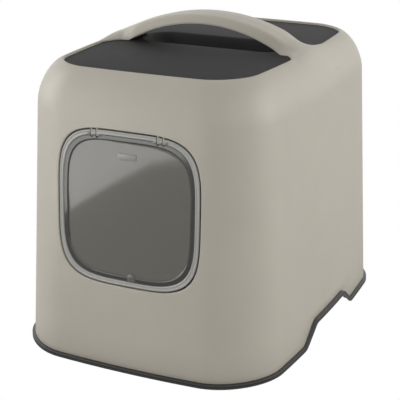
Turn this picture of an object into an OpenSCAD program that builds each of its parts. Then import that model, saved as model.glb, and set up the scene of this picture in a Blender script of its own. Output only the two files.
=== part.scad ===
/* [Footprint] */
// Width across the tray flange at the corners' tangent line
base_w = 359.8; // [320:0.2:420]
// Depth across the tray flange at the corners' tangent line
base_d = 487.8; // [430:0.2:560]
// Corner radius of the flange outline
base_r = 77.5; // [60:0.5:95]
// How far each long side swells outward at its middle
side_swell = 12.8; // [4:0.1:20]
// How far the front and the back swell outward at their middle
end_swell = 11.1; // [4:0.1:16]

/* [Tray] */
// Height of the flange that runs round the foot of the tray
flange_h = 5.6; // [5:0.2:8]
// Width of flange that stays in sight outside the hood
flange_ledge = 4.2; // [4:0.1:9]
// Wall thickness of the tray
tray_wall = 2.6; // [2:0.1:3.2]
// Height of the tray rim above the floor
tray_h = 104; // [85:1:112]
// Width of the folded rim at the top of the tray
rim_w = 13; // [9:0.5:18]
// Gap between the flange and the tub where the tub meets the floor
tub_set_in = 52; // [46:1:58]
// Height of the hand grip in each side
grip_h = 26; // [20:1:32]
// Half width of the hand grip at the floor
grip_half_foot = 90; // [70:1:100]
// Half width of the hand grip at its top
grip_half_top = 55; // [40:1:60]

/* [Hood] */
// Height of the roof rim
roof_z = 387.3; // [360:0.5:420]
// Wall thickness of the hood
hood_wall = 2.6; // [2:0.1:3.2]
// Lean of the four walls, in degrees
draft = 2.5; // [1.5:0.1:3]
// Height of the shoulder between wall and roof
shoulder_h = 55; // [45:1:65]
// Corner radius of the hood where the wall meets the shoulder
wall_top_r = 67; // [58:1:80]
// Roundness of the shoulder: 2 is an ellipse and less is flatter
shoulder_n = 1.65; // [1.4:0.05:2.2]
// Width of the roof opening at its corners' tangent line
roof_w = 260.8; // [240:0.4:275]
// Depth of the roof opening at its corners' tangent line
roof_d = 394.2; // [370:0.4:405]
// Corner radius of the roof opening
roof_r = 50; // [40:1:58]
// How far the roof opening's long sides swell outward
roof_side_swell = 11.9; // [4:0.1:14]
// How far the roof opening's front and back swell outward
roof_end_swell = 4.7; // [2:0.1:9]
// Gap between the hood and the tray that it stands over
hood_fit = 1; // [0.6:0.1:1.6]
// Gap between the hood's lower edge and the flange that it rests on
seat_gap = 0.3; // [0.2:0.05:0.5]

/* [Handle] */
// Height of the handle's crest
crest_z = 429.7; // [415:0.1:445]
// Distance of the handle's middle behind the middle of the hood
handle_back = 6.5; // [0:0.5:10]
// Thickness of the strap at its crest
strap_t = 13.5; // [10:0.1:16]
// Width of the strap's top face
strap_top_w = 41; // [32:1:46]
// Width of the strap at its lower edges
strap_w = 51; // [44:1:56]
// Radius of the arch on top
arch_r = 265; // [240:1:300]
// Radius of the arch underneath
under_r = 222; // [190:1:235]
// Half length of the arch before it runs straight down to the shoulder
arch_half = 105; // [90:1:112]
// Wall of the strap, which is a channel open below
strap_wall = 3; // [2.4:0.1:4]
// Width of the handle's foot where it spreads into the side of the hood
foot_w = 132; // [110:2:150]
// Width that the roof opening's corners take beside the handle, along the handle
foot_corner_x = 18; // [10:1:24]
// Width that the same corners take across the handle
foot_corner_y = 32; // [16:1:40]

/* [Doorway] */
// Half width of the doorway
door_half_w = 101.4; // [85:0.2:108]
// Half height of the doorway
door_half_h = 102.1; // [85:0.2:106]
// Height of the doorway's centre, measured up the leaning wall
door_mid = 219; // [212:0.5:228]
// Squareness of the doorway: 2 is an ellipse and 5 is nearly square
door_n = 4.05; // [3:0.05:5]
// Gap all round the flap
door_gap = 1.8; // [1.5:0.1:2.4]
// Depth of the return wall behind the doorway
return_depth = 27; // [18:1:32]
// Thickness of the return wall
return_wall = 2.2; // [1.8:0.1:2.8]

/* [Flap] */
// Width of the flap's raised ring
ring_w = 6; // [5:0.2:8]
// Thickness of the flap's ring
ring_t = 4.2; // [3.6:0.1:4.8]
// Thickness of the flap's pane
pane_t = 1.8; // [1.4:0.1:2.2]
// Width of the flat band between the ring and the dished middle
band_w = 7; // [5:0.5:10]
// Depth that the middle of the pane is dished
dish_depth = 1.2; // [0.8:0.1:1.6]
// Distance of each hinge from the middle
hinge_x = 46.5; // [36:0.5:54]
// Depth of the hinge line behind the hood's front surface
hinge_back = 4.2; // [4.1:0.1:4.6]
// Distance of the hinge line below the flap's top edge
hinge_drop = 7.4; // [7:0.1:8]
// Radius of each hinge pin
pin_r = 2; // [1.6:0.1:2.2]
// Running clearance round every pin
pin_fit = 0.05; // [0.02:0.01:0.1]
// Thickness of each hinge ear
ear_t = 2; // [1.6:0.1:2.4]
// Radius of the ear round the pin
ear_r = 3.8; // [3.5:0.1:3.8]
// Side clearance of the ears in the flap's slots
ear_gap = 0.3; // [0.2:0.05:0.5]
// Half width of the flap's knuckle between two ears
knuckle_half = 2.6; // [2:0.1:3.2]

/* [Catch] */
// Distance of the catch's pivot to the right of the middle
catch_x = 6.5; // [0:0.5:10]
// Distance of the catch's pivot above the flap's lower edge
catch_rise = 11.2; // [11.1:0.1:13]
// Radius of the catch's button
button_r = 4.8; // [4.2:0.1:6]
// How far the catch reaches past the doorway's lower edge when it is locked
catch_bite = 1.6; // [1:0.1:2]
// Width of the catch's lever
lever_w = 5; // [4:0.5:6]
// Thickness of the catch's lever
lever_t = 2.5; // [2:0.1:3]

/* [Top panel] */
// Depth of the panel's face below the roof rim
panel_recess = 2.9; // [2.8:0.1:4]
// Thickness of the panel
panel_t = 2.4; // [2:0.1:3]
// Gap between the panel and the roof opening
panel_gap = 0.4; // [0.3:0.05:0.6]
// How far the panel's flange reaches under the roof
panel_lap = 3.6; // [3.2:0.1:3.7]
// Depth of the finger trough under the handle
trough_depth = 24; // [16:1:28]
// Length of the trough
trough_l = 224; // [190:2:232]
// Width of the trough
trough_w = 78; // [64:1:84]
// Distance of the trough's middle behind the handle's middle
trough_back = 26; // [20:1:30]
// How far the trough's sides draw in towards its floor
trough_slope = 24; // [18:1:28]

/* [Filter] */
// Length of the filter basket
basket_l = 172; // [140:2:190]
// Width of the filter basket
basket_w = 62; // [50:1:70]
// Height of the filter basket
basket_h = 11; // [9:0.5:14]
// Wall of the filter basket
basket_wall = 2; // [1.6:0.1:2.6]
// Width of one vent slot
slot_w = 3.2; // [2.4:0.2:4]
// Distance from one vent slot to the next
slot_pitch = 6.4; // [5.6:0.2:8]
// Thickness of the charcoal pad
pad_t = 8; // [6:0.5:8]

/* [Hidden] */

ARC_STEPS = 8;
SIDE_STEPS = 3;
RIM_STEPS = 4;
SHOULDER_STEPS = 8;
TROUGH_STEPS = 5;
DOOR_STEPS = 10;
ROUND = 32;
EPS = 0.05;
GRIP_CUT = 4;
FAR = 700;

lean = tan(draft);
wall_top_z = roof_z - shoulder_h;
front_y = -(base_d / 2 + end_swell - flange_ledge) - flange_h * lean;
panel_z = roof_z - panel_recess;
skirt_inset = flange_ledge + hood_wall + hood_fit;
grip_slope = atan2(grip_h, grip_half_foot - grip_half_top);
trough_floor_z = panel_z - trough_depth;
door_top_z = door_mid + door_half_h;
door_foot_z = door_mid - door_half_h;

// A shape is [half width, half depth, corner radius, side swell, end swell]
base_shape = [base_w / 2, base_d / 2, base_r, side_swell, end_swell];
rim_shape = [roof_w / 2, roof_d / 2, roof_r, roof_side_swell, roof_end_swell];

function inset_shape(s, d) = [s[0] - d, s[1] - d, max(3, s[2] - d), s[3], s[4]];
function mix(a, b, t) = a + (b - a) * t;
function soft_step(t) = let (c = min(1, max(0, t))) c * c * (3 - 2 * c);

wall_top_inset = flange_ledge + (wall_top_z - flange_h) * lean;
wall_top_shape = [
    base_w / 2 - wall_top_inset, base_d / 2 - wall_top_inset, wall_top_r, side_swell, end_swell
];

// Outline of the hood's outer wall at height z, drawn in by d
function wall_shape(z, d) =
    let (t = (z - flange_h) / (wall_top_z - flange_h))
    inset_shape(mix(inset_shape(base_shape, flange_ledge), wall_top_shape, t), d);

function corner(cx, cy, r, q, n) = [
    for (k = [0:n]) [cx + r * cos(90 * (q + k / n)), cy + r * sin(90 * (q + k / n))]
];

function between(p, q, n) = n < 2 ? [] : [for (k = [1:n - 1]) p + (q - p) * k / n];

function plain_outline(a, b, r, arc_n, side_n) =
    let (c = [
        corner(a - r, b - r, r, 0, arc_n), corner(r - a, b - r, r, 1, arc_n),
        corner(r - a, r - b, r, 2, arc_n), corner(a - r, r - b, r, 3, arc_n)
    ])
    [for (q = [0:3]) each concat(c[q], between(c[q][arc_n], c[(q + 1) % 4][0], side_n))];

function swollen(p, s) = [
    p[0] + sign(p[0]) * s[3] * (1 - pow(p[1] / s[1], 2)) * pow(min(1, abs(p[0]) / s[0]), 2),
    p[1] + sign(p[1]) * s[4] * (1 - pow(p[0] / s[0], 2)) * pow(min(1, abs(p[1]) / s[1]), 2)
];

function outline(s) = [for (p = plain_outline(s[0], s[1], s[2], ARC_STEPS, SIDE_STEPS)) swollen(p, s)];
function lift(points, z) = [for (p = points) [p[0], p[1], z]];
function ring(s, z) = lift(outline(s), z);

// Closed solid through a stack of rings that all hold the same number of points
module loft(rings) {
    n = len(rings[0]);
    m = len(rings);
    bottom = [for (i = [0:n - 1]) i];
    top = [for (i = [n - 1:-1:0]) (m - 1) * n + i];
    sides = [
        for (j = [0:m - 2])
        for (i = [0:n - 1])
        let (a = j * n + i)
        let (b = j * n + (i + 1) % n)
        each [[a + n, a, b], [a + n, b, b + n]]
    ];
    polyhedron([for (r = rings) each r], concat([bottom], [top], sides), convexity = 10);
}

// Share of the way in and up at an angle t of the shoulder's superellipse
function shoulder_point(t) = [1 - pow(cos(t), 2 / shoulder_n), pow(sin(t), 2 / shoulder_n)];

// Solid inside the hood's outer surface, drawn in by d
module hood_form(d, bottom_z = 0) {
    loft(concat(
        [ring(wall_shape(bottom_z, d), bottom_z)],
        [
            for (k = [0:SHOULDER_STEPS])
            let (s = shoulder_point(90 * k / SHOULDER_STEPS))
            ring(inset_shape(mix(wall_top_shape, rim_shape, s[0]), d), wall_top_z - d + shoulder_h * s[1])
        ]
    ));
}

// Arc of radius r that rounds the corner c between the directions of p and q
function rounded(p, c, q, r, n) =
    let (u = (p - c) / norm(p - c))
    let (v = (q - c) / norm(q - c))
    let (half = acos(u * v) / 2)
    let (mid = c + (u + v) / norm(u + v) * r / sin(half))
    let (s = c + u * r / tan(half) - mid)
    let (e = c + v * r / tan(half) - mid)
    let (a0 = atan2(s[1], s[0]))
    let (turn = atan2(s[0] * e[1] - s[1] * e[0], s * e))
    [for (k = [0:n]) mid + r * [cos(a0 + turn * k / n), sin(a0 + turn * k / n)]];

grip_foot_r = 22;
grip_top_r = 12;

// Upper edge of both hand grips, seen along X and moved up and out by d
function grip_line(d) =
    let (shift = d * tan(grip_slope / 2))
    let (f = [grip_half_foot + shift, d])
    let (t = [grip_half_top + shift, grip_h + d])
    let (right = concat(
        rounded([FAR, d], f, t, grip_foot_r - d, 4),
        rounded(f, t, [0, grip_h + d], grip_top_r + d, 4)
    ))
    let (left = [for (i = [len(right) - 1:-1:0]) [-right[i][0], right[i][1]]])
    concat([[FAR / 2, d]], right, left, [[-FAR / 2, d]]);

module across(points) {
    rotate([90, 0, 90])
        translate([0, 0, -FAR / 2])
            linear_extrude(FAR)
                polygon(points);
}

module below_grip_line(d) {
    across(concat(grip_line(d), [[-FAR / 2, -20], [FAR / 2, -20]]));
}

module grip_band(d1, d2) {
    upper = grip_line(d2);
    across(concat(grip_line(d1), [for (i = [len(upper) - 1:-1:0]) upper[i]]));
}

module foot_prism(inset) {
    shape = inset_shape(base_shape, inset);
    loft([ring(shape, -10), ring(shape, 60)]);
}

// Tray
function skirt_shape(z, d) = wall_shape(z, hood_wall + hood_fit + d);
rim_round = 4;
tub_r = 52;
tub_bend = 9;
tub_head = skirt_inset + (tray_h - flange_h) * lean + rim_w;

function tub_shape(inset) =
    let (s = inset_shape(base_shape, inset))
    [s[0], s[1], tub_r, s[3], s[4]];

function tub_rings(d, floor_z, top_z) = [
    ring(inset_shape(tub_shape(tub_set_in + d), tub_bend), floor_z),
    ring(inset_shape(tub_shape(tub_set_in + d), tub_bend / 3), floor_z + tub_bend / 3),
    ring(tub_shape(tub_set_in + d), floor_z + tub_bend),
    ring(tub_shape(tub_head + d), top_z)
];

module tray_skin() {
    loft(concat(
        [ring(skirt_shape(0, 0), 0)],
        [
            for (k = [0:RIM_STEPS])
            let (t = 90 * k / RIM_STEPS)
            let (z = tray_h - rim_round + rim_round * sin(t))
            ring(skirt_shape(z, rim_round * (1 - cos(t))), z)
        ]
    ));
}

module tray_hollow() {
    difference() {
        loft([
            ring(skirt_shape(-1, tray_wall), -1),
            ring(skirt_shape(tray_h - tray_wall, tray_wall), tray_h - tray_wall)
        ]);
        loft(tub_rings(0, 0, tray_h));
    }
}

groove_w = 0.9;
groove_z = flange_h - 1.6;

module tray_flange() {
    difference() {
        grip_band(0, flange_h);
        difference() {
            cube([FAR, FAR, FAR], center = true);
            foot_prism(0);
        }
        foot_prism(skirt_inset + tray_wall);
        intersection() {
            grip_band(-5, flange_h - tray_wall);
            foot_prism(tray_wall);
        }
        difference() {
            grip_band(groove_z - groove_w, groove_z);
            foot_prism(groove_w);
        }
    }
}

module base_tray() {
    color("#3f3f3e") {
        difference() {
            tray_skin();
            tray_hollow();
            difference() {
                below_grip_line(0);
                foot_prism(skirt_inset + tray_wall + GRIP_CUT);
            }
            loft(tub_rings(tray_wall, tray_wall, tray_h + EPS));
        }
        tray_flange();
    }
}

// Doorway, drawn in the plane of the leaning front wall
function power(v, e) = sign(v) * pow(abs(v), e);

function door_shape(grow) = [
    for (i = [0:4 * DOOR_STEPS - 1])
    let (t = 90 * i / DOOR_STEPS)
    [(door_half_w + grow) * power(cos(t), 2 / door_n), (door_half_h + grow) * power(sin(t), 2 / door_n)]
];

module in_wall() {
    translate([0, front_y, 0])
        rotate([-draft, 0, 0])
            children();
}

module through_wall(y1, y2) {
    in_wall()
        translate([0, y2, door_mid])
            rotate([90, 0, 0])
                linear_extrude(y2 - y1)
                    children();
}

module door_prism(grow, y1 = -40, y2 = 60) {
    through_wall(y1, y2)
        polygon(door_shape(grow));
}

hinge_local_y = hinge_back + end_swell * pow(hinge_x / wall_top_shape[0], 2);
hinge_local_z = door_mid + door_half_h - door_gap - hinge_drop;
ear_mid = knuckle_half + ear_gap + ear_t / 2;

module at_hinges() {
    in_wall()
        for (x = [-hinge_x, hinge_x])
            translate([x, hinge_local_y, hinge_local_z])
                children();
}

module along_x(r, half) {
    rotate([0, 90, 0])
        cylinder(r = r, h = 2 * half, center = true, $fn = ROUND);
}

module slab_x(points, half) {
    rotate([90, 0, 90])
        translate([0, 0, -half])
            linear_extrude(2 * half)
                polygon(points);
}

snap_w = 3.3;
snap_lead = 1;
ear_root = 12;
ear_brace = 8;

module hinge_ear() {
    rise = door_top_z - hinge_local_z + ear_root;
    snap = snap_w / 2;
    mouth = snap + snap_lead;
    difference() {
        union() {
            along_x(ear_r, ear_t / 2);
            slab_x([
                [-ear_r, 0], [ear_r, 0], [ear_r, rise - ear_brace],
                [1 - hinge_back, rise], [-ear_r, rise - 1]
            ], ear_t / 2);
        }
        along_x(pin_r + pin_fit, ear_t);
        slab_x([[0, -snap], [2 * ear_r, -mouth], [2 * ear_r, mouth], [0, snap]], ear_t);
    }
}

catch_z = door_foot_z + door_gap + catch_rise;
boss_front = 1.6;
boss_back = 5.2;
catch_fit = 0.2;
lever_reach = catch_rise + door_gap + catch_bite;
lever_front = boss_back + catch_fit;

module return_tube() {
    relief_z = door_top_z - 24;
    intersection() {
        hood_form(EPS);
        difference() {
            door_prism(return_wall, -20, return_depth);
            door_prism(0);
            in_wall()
                slab_x([
                    [hood_wall + 1, FAR],
                    [hood_wall + 1, relief_z],
                    [FAR, relief_z - FAR * 1.5],
                    [FAR, FAR]
                ], FAR / 2);
            in_wall()
                translate([catch_x - lever_reach, lever_front - 0.6, door_foot_z - 10])
                    cube([2 * lever_reach, lever_t + 1.2, 20]);
        }
    }
}

// Handle
function arch_top(x) = crest_z - arch_r + sqrt(arch_r * arch_r - x * x);
function arch_under(x) = crest_z - strap_t - under_r + sqrt(max(0, under_r * under_r - x * x));
function side_x(shape, y) = shape[0] + shape[3] * (1 - pow(y / shape[1], 2));

rim_x = side_x(rim_shape, 0);
wall_x = side_x(wall_top_shape, 0);
arch_slope = arch_half / sqrt(arch_r * arch_r - arch_half * arch_half);
foot_gap = arch_top(arch_half) - arch_slope * (rim_x - arch_half) - roof_z;
foot_sink = 1.6;
foot_end = wall_x - 5;

// Height of the shoulder's surface above the point x, y beside the handle
function shoulder_z(x, y) =
    let (inward = (side_x(wall_top_shape, y) - x) / (side_x(wall_top_shape, y) - side_x(rim_shape, y)))
    wall_top_z + shoulder_h * pow(1 - pow(1 - min(1, max(0, inward)), shoulder_n), 1 / shoulder_n);

function foot_top(t) =
    let (x = mix(rim_x, foot_end, t))
    [x, shoulder_z(x, 0) + mix(foot_gap, -foot_sink, soft_step(t))];

blend_x = arch_half - 5;
foot_start = rim_x - foot_corner_x;

function strap_path() = concat(
    [for (k = [0:7]) let (x = arch_half * k / 7) [x, arch_top(x)]],
    [
        for (x = [
            mix(arch_half, foot_start, 0.5),
            for (c = [0, 0.3, 0.55, 0.75, 0.9]) mix(foot_start, rim_x, c)
        ])
        [x, arch_top(arch_half) - arch_slope * (x - arch_half)]
    ],
    [for (k = [0:7]) foot_top(k / 7)]
);

FLARE = 3;

// Half width of the strap's lower edges, which sweep out round the corners of the roof opening
function strap_half(x) =
    let (c = min(1, max(0, (x - foot_start) / foot_corner_x)))
    let (out = max(0, (x - rim_x) / (wall_x - rim_x)))
    let (at_rim = strap_w / 2 + FLARE + foot_corner_y)
    strap_w / 2 + FLARE * soft_step((x - blend_x) / (foot_start - blend_x))
    + foot_corner_y * (1 - pow(1 - pow(c, 1.3), 1 / 1.3)) + (foot_w / 2 - at_rim) * out;

// Half of a section: lower corner, lower edge, upper edge, crown and middle
function strap_half_section(p, wall) =
    let (x = p[0])
    let (s = soft_step((x - blend_x) / (rim_x - blend_x)))
    let (h = strap_half(x))
    let (rise = p[1] - shoulder_z(x, 0))
    let (out = min(1, max(0, (x - blend_x) / (wall_x - blend_x))))
    let (low = x < rim_x ? max(arch_under(x), panel_z + seat_gap) : shoulder_z(x, h) - 2)
    let (y = mix(
        [h - 1.2, h, strap_top_w / 2 + 2, strap_top_w / 2 - 2, 0] - wall * [1, 1, 1, 1, 0],
        h * [1, 1, 0.66, 0.36, 0], s
    ))
    let (at = [for (v = y) x - out * (side_x(wall_top_shape, 0) - side_x(wall_top_shape, v))])
    let (strap_z = [wall > 0 ? low - 12 : low, low + 1.8, p[1] - 3.4, p[1] - 1.4, p[1]])
    let (arch_z = strap_z - wall * [0, 1, 1, 1, 1])
    let (foot_zs = [
        low, shoulder_z(at[1], y[1]) - 0.8, shoulder_z(at[2], y[2]) + 0.42 * rise,
        shoulder_z(at[3], y[3]) + 0.84 * rise, p[1]
    ])
    let (z = mix(arch_z, foot_zs, s))
    [for (i = [0:4]) [at[i], y[i], z[i]]];

function strap_section(p, wall, side) =
    let (half = strap_half_section(p, wall))
    [
        for (q = concat(half, [for (i = [3:-1:0]) [half[i][0], -half[i][1], half[i][2]]]))
        [side * q[0], q[1] + handle_back, q[2]]
    ];

module strap(wall, reach) {
    path = [for (p = strap_path()) if (p[0] <= reach) p];
    n = len(path);
    loft(concat(
        [for (i = [n - 1:-1:1]) strap_section(path[i], wall, -1)],
        [for (p = path) strap_section(p, wall, 1)]
    ));
}

module handle() {
    difference() {
        strap(0, FAR);
        strap(strap_wall, arch_half);
    }
}

clip_w = 12;
clip_t = 1.8;
clip_hook = 1.4;
clip_foot = 3;
clip_end_x = roof_w / 4;
clip_side_y = roof_d / 4;
panel_flange_z = panel_z - panel_t;

module panel_clip() {
    head = roof_z - hood_wall;
    foot = panel_flange_z - panel_t - panel_gap / 2;
    slab_x([
        [panel_gap, head], [panel_gap, foot], [-clip_hook, foot],
        [panel_gap, foot - clip_foot], [panel_gap + clip_t, foot - clip_foot], [panel_gap + clip_t, head]
    ], clip_w / 2);
}

module panel_clips() {
    edge = inset_shape(rim_shape, -panel_lap);
    intersection() {
        hood_form(EPS);
        panel_clip_row(edge);
    }
}

module panel_clip_row(edge) {
    for (s = [-1, 1]) {
        for (x = [-clip_end_x, clip_end_x])
            scale([1, s, 1])
                translate([x, edge[1] + edge[4] * (1 - pow(x / edge[0], 2)), 0])
                    panel_clip();
        for (y = [-clip_side_y, clip_side_y])
            scale([s, 1, 1])
                translate([side_x(edge, y), y, 0])
                    rotate([0, 0, -90])
                        panel_clip();
    }
}

module hood_shell() {
    opening = inset_shape(rim_shape, EPS);
    difference() {
        hood_form(0);
        hood_form(hood_wall, -1);
        loft([ring(opening, roof_z - 15), ring(opening, roof_z + EPS)]);
    }
}

module hood() {
    color("#b5b1a5") {
        difference() {
            union() {
                hood_shell();
                handle();
            }
            door_prism(0);
            below_grip_line(flange_h + seat_gap);
        }
        return_tube();
        at_hinges()
            for (x = [-ear_mid, ear_mid])
                translate([x, 0, 0])
                    hinge_ear();
        panel_clips();
    }
}

// Top panel
function trough_ring(inset, z) =
    let (b = trough_w / 2 - inset)
    [for (p = plain_outline(trough_l / 2 - inset, b, b - 4, 6, 1)) [p[0], p[1] + trough_back, z]];

function trough_rings(inset, drop, top_z) = concat(
    [
        for (k = [TROUGH_STEPS:-1:0])
        let (t = k / TROUGH_STEPS)
        trough_ring(inset + trough_slope * t, panel_z - drop - trough_depth * soft_step(t))
    ],
    [trough_ring(inset, top_z)]
);

module round_block(l, w, h, r) {
    linear_extrude(h)
        union() {
            square([l - 2 * r, w], center = true);
            square([l, w - 2 * r], center = true);
            for (x = [-1, 1])
                for (y = [-1, 1])
                    translate([x * (l / 2 - r), y * (w / 2 - r)])
                        circle(r = r, $fn = ROUND);
        }
}

module slot_row(length, slot_l, depth) {
    count = floor((length - slot_w) / slot_pitch);
    for (i = [0:count])
        translate([(i - count / 2) * slot_pitch, 0, depth / 2])
            cube([slot_w, slot_l, depth + 2], center = true);
}

seat_t = 2.4;
seat_l = basket_l + 10;
seat_w = basket_w + 8;
vent_l = trough_l - 2 * trough_slope - 40;
vent_w = trough_w - 2 * trough_slope - 6;
door_seat_gap = 0.3;
basket_top = trough_floor_z - seat_t - door_seat_gap;
swing_y = trough_back + seat_w / 2 + 1.5;
swing_z = basket_top - 3;
swing_x = 62;
lug_r = 4;
lug_t = 3;
lug_gap = 0.3;
lug_mid = 1.5 * lug_t + lug_gap;
hook_w = 30;
hook_t = 1.6;
hook_h = 5;

module panel_plate(inset, top_z, thickness) {
    shape = inset_shape(rim_shape, inset);
    loft([ring(shape, top_z - thickness), ring(shape, top_z)]);
}

module top_panel() {
    color("#464645")
        difference() {
            union() {
                panel_plate(panel_gap, panel_z, panel_t);
                panel_plate(-panel_lap, panel_flange_z + EPS, panel_t);
                loft(trough_rings(-panel_t, panel_t, panel_z - 0.6));
                translate([0, trough_back, trough_floor_z - seat_t])
                    round_block(seat_l, seat_w, seat_t, 6);
                for (x = [-swing_x, swing_x])
                    for (s = [-1, 1])
                        translate([x + s * lug_mid, 0, 0])
                            seat_lug();
                translate([-hook_w / 2, trough_back - seat_w / 2, basket_top - hook_h])
                    cube([hook_w, hook_t, hook_h + seat_t]);
            }
            loft(trough_rings(0, 0, panel_z + 1));
            translate([0, trough_back, trough_floor_z - seat_t - 1])
                slot_row(vent_l, vent_w, seat_t + 6);
            for (x = [-swing_x, swing_x])
                translate([x, swing_y, swing_z])
                    along_x(pin_r + pin_fit, 3 * lug_t);
        }
}

module seat_lug() {
    head = basket_top + seat_t - swing_z;
    translate([0, swing_y, swing_z]) {
        along_x(lug_r, lug_t / 2);
        slab_x([[-lug_r, 0], [lug_r, 0], [lug_r, 2], [-1, head], [-lug_r, head]], lug_t / 2);
    }
}

// Filter basket and its pad
basket_r = 5;
vent_edge = 8;
basket_floor_z = basket_top - basket_h;
inner_l = basket_l - 2 * basket_wall;
inner_w = basket_w - 2 * basket_wall;

module filter_basket() {
    color("#3f3f3e") {
        difference() {
            translate([0, trough_back, basket_floor_z])
                round_block(basket_l, basket_w, basket_h, basket_r);
            translate([0, trough_back, basket_floor_z + basket_wall])
                round_block(inner_l, inner_w, basket_h, basket_r - basket_wall);
            for (s = [-1, 1])
                translate([0, trough_back + s * (basket_w / 4 - 1), basket_floor_z - 1])
                    slot_row(basket_l - 2 * vent_edge, basket_w / 2 - vent_edge, basket_wall + 1);
        }
        for (x = [-swing_x, swing_x])
            basket_knuckle(x);
    }
}

module basket_knuckle(x) {
    r = lug_r - 2 * lug_gap;
    half = lug_mid - lug_t / 2 - lug_gap;
    reach = swing_y - trough_back - basket_w / 2;
    translate([x, swing_y, swing_z]) {
        along_x(r, half);
        along_x(pin_r, lug_mid + lug_t / 2 - lug_gap);
    }
    translate([x - half, swing_y - reach - 1, swing_z - r])
        cube([2 * half, reach + 1, r + 1]);
}

pad_gap = 0.8;

module charcoal_pad() {
    color("#2b2b2b")
        translate([0, trough_back, basket_floor_z + basket_wall])
            round_block(inner_l - 2 * pad_gap, inner_w - 2 * pad_gap, pad_t, basket_r - basket_wall);
}

// Flap
module flap_zone(inset) {
    door_prism(-door_gap - inset);
}

module wall_form(d) {
    low = door_foot_z - band_w;
    high = door_top_z + band_w;
    loft([ring(wall_shape(low, d), low), ring(wall_shape(high, d), high)]);
}

// Layer of the front wall from depth d1 to depth d2
module wall_layer(d1, d2) {
    difference() {
        wall_form(d1);
        wall_form(d2);
    }
}

ring_front = 0.4;
ear_clear = 0.7;
knuckle_r = 3.6;
knuckle_root = 2.2;
knuckle_web = 1.2;
boss_r = button_r + 1.4;

module flap() {
    color("#6f6f6b", 0.8)
        difference() {
            union() {
                intersection() {
                    wall_layer(ring_front, ring_front + ring_t);
                    difference() {
                        flap_zone(0);
                        flap_zone(ring_w);
                    }
                }
                intersection() {
                    wall_layer(boss_front, boss_front + pane_t);
                    difference() {
                        flap_zone(ring_w - EPS);
                        flap_zone(ring_w + band_w);
                    }
                }
                intersection() {
                    wall_layer(boss_front, boss_front + pane_t + dish_depth);
                    difference() {
                        flap_zone(ring_w + band_w - pane_t);
                        flap_zone(ring_w + band_w);
                    }
                }
                intersection() {
                    wall_layer(boss_front + dish_depth, boss_front + dish_depth + pane_t);
                    flap_zone(ring_w + band_w - EPS);
                }
                at_hinges()
                    for (x = [-1, 0, 1])
                        translate([x * 2 * ear_mid, 0, 0])
                            flap_knuckle();
                in_wall()
                    translate([catch_x, boss_front - 0.1, catch_z])
                        rotate([-90, 0, 0])
                            cylinder(r = boss_r, h = boss_back - boss_front + 0.1, $fn = ROUND);
            }
            difference() {
                at_hinges()
                    for (x = [-ear_mid, ear_mid])
                        translate([x - ear_t / 2 - ear_gap, -20, -ear_r - ear_clear])
                            cube([ear_t + 2 * ear_gap, 40, 40]);
                at_hinges()
                    along_x(pin_r, 3 * knuckle_half + 2);
            }
            in_wall()
                translate([catch_x, -10, catch_z])
                    rotate([-90, 0, 0])
                        cylinder(r = pin_r + pin_fit, h = 40, $fn = ROUND);
        }
}

module flap_knuckle() {
    along_x(knuckle_r, knuckle_half);
    translate([-knuckle_half, 1 - hinge_back, -knuckle_r])
        cube([2 * knuckle_half, hinge_back - 1 + knuckle_web, knuckle_r + hinge_drop - knuckle_root]);
}

// Catch
module flap_catch() {
    color("#8a8a86")
        in_wall()
            translate([catch_x, 0, catch_z])
                rotate([-90, 0, 0]) {
                    translate([0, 0, ring_front])
                        cylinder(r = button_r, h = boss_front - catch_fit - ring_front, $fn = ROUND);
                    translate([0, 0, ring_front])
                        cylinder(r = pin_r, h = lever_front + lever_t - ring_front, $fn = ROUND);
                    translate([0, 0, lever_front])
                        cylinder(r = lever_w / 2, h = lever_t, $fn = ROUND);
                    translate([0, -lever_w / 2, lever_front])
                        cube([lever_reach, lever_w, lever_t]);
                }
}

base_tray();
hood();
top_panel();
flap();
flap_catch();
filter_basket();
charcoal_pad();
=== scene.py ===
"""Hooded cat litter box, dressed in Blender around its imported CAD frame."""
import logging
import math
from dataclasses import astuple, dataclass, field, replace
from enum import Enum
from typing import Callable, ClassVar, Iterable, Sequence

import bmesh
import bpy
from mathutils import Matrix, Vector


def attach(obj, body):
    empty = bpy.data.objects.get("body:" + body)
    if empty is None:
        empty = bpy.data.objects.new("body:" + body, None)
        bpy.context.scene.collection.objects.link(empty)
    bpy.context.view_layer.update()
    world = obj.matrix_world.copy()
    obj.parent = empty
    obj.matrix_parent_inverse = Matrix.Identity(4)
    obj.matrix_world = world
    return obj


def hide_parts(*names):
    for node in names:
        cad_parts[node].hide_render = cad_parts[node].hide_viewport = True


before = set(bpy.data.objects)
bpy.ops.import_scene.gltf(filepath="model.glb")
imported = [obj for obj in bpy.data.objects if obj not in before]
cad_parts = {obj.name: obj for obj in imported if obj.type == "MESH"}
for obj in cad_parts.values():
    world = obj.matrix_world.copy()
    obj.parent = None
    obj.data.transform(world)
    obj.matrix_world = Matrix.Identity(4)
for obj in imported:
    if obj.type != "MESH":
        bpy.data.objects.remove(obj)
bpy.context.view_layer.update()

LOG = logging.getLogger("litter_box")
MM = 0.001
SHARP_ANGLE = math.radians(32.0)
ROD_END_ANGLE = 1.0
PLATE_EDGE_ANGLE = 0.6
ROD_END_ROUND = 0.3

Point = tuple[float, float, float]
Ring = list[Point]


def mix(a: float, b: float, t: float) -> float:
    """Returns the value a share t of the way from a to b."""
    return a + (b - a) * t


def soft_step(t: float) -> float:
    """Returns 0 below 0, 1 above 1 and a smooth rise between them."""
    c = min(1.0, max(0.0, t))
    return c * c * (3.0 - 2.0 * c)


def shares(count: int) -> list[float]:
    """Returns count + 1 even shares from 0 to 1."""
    return [k / count for k in range(count + 1)]


def quarter(steps: int) -> list[float]:
    """Returns even angles from 0 to a quarter turn."""
    return [t * math.pi / 2 for t in shares(steps)]


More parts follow.
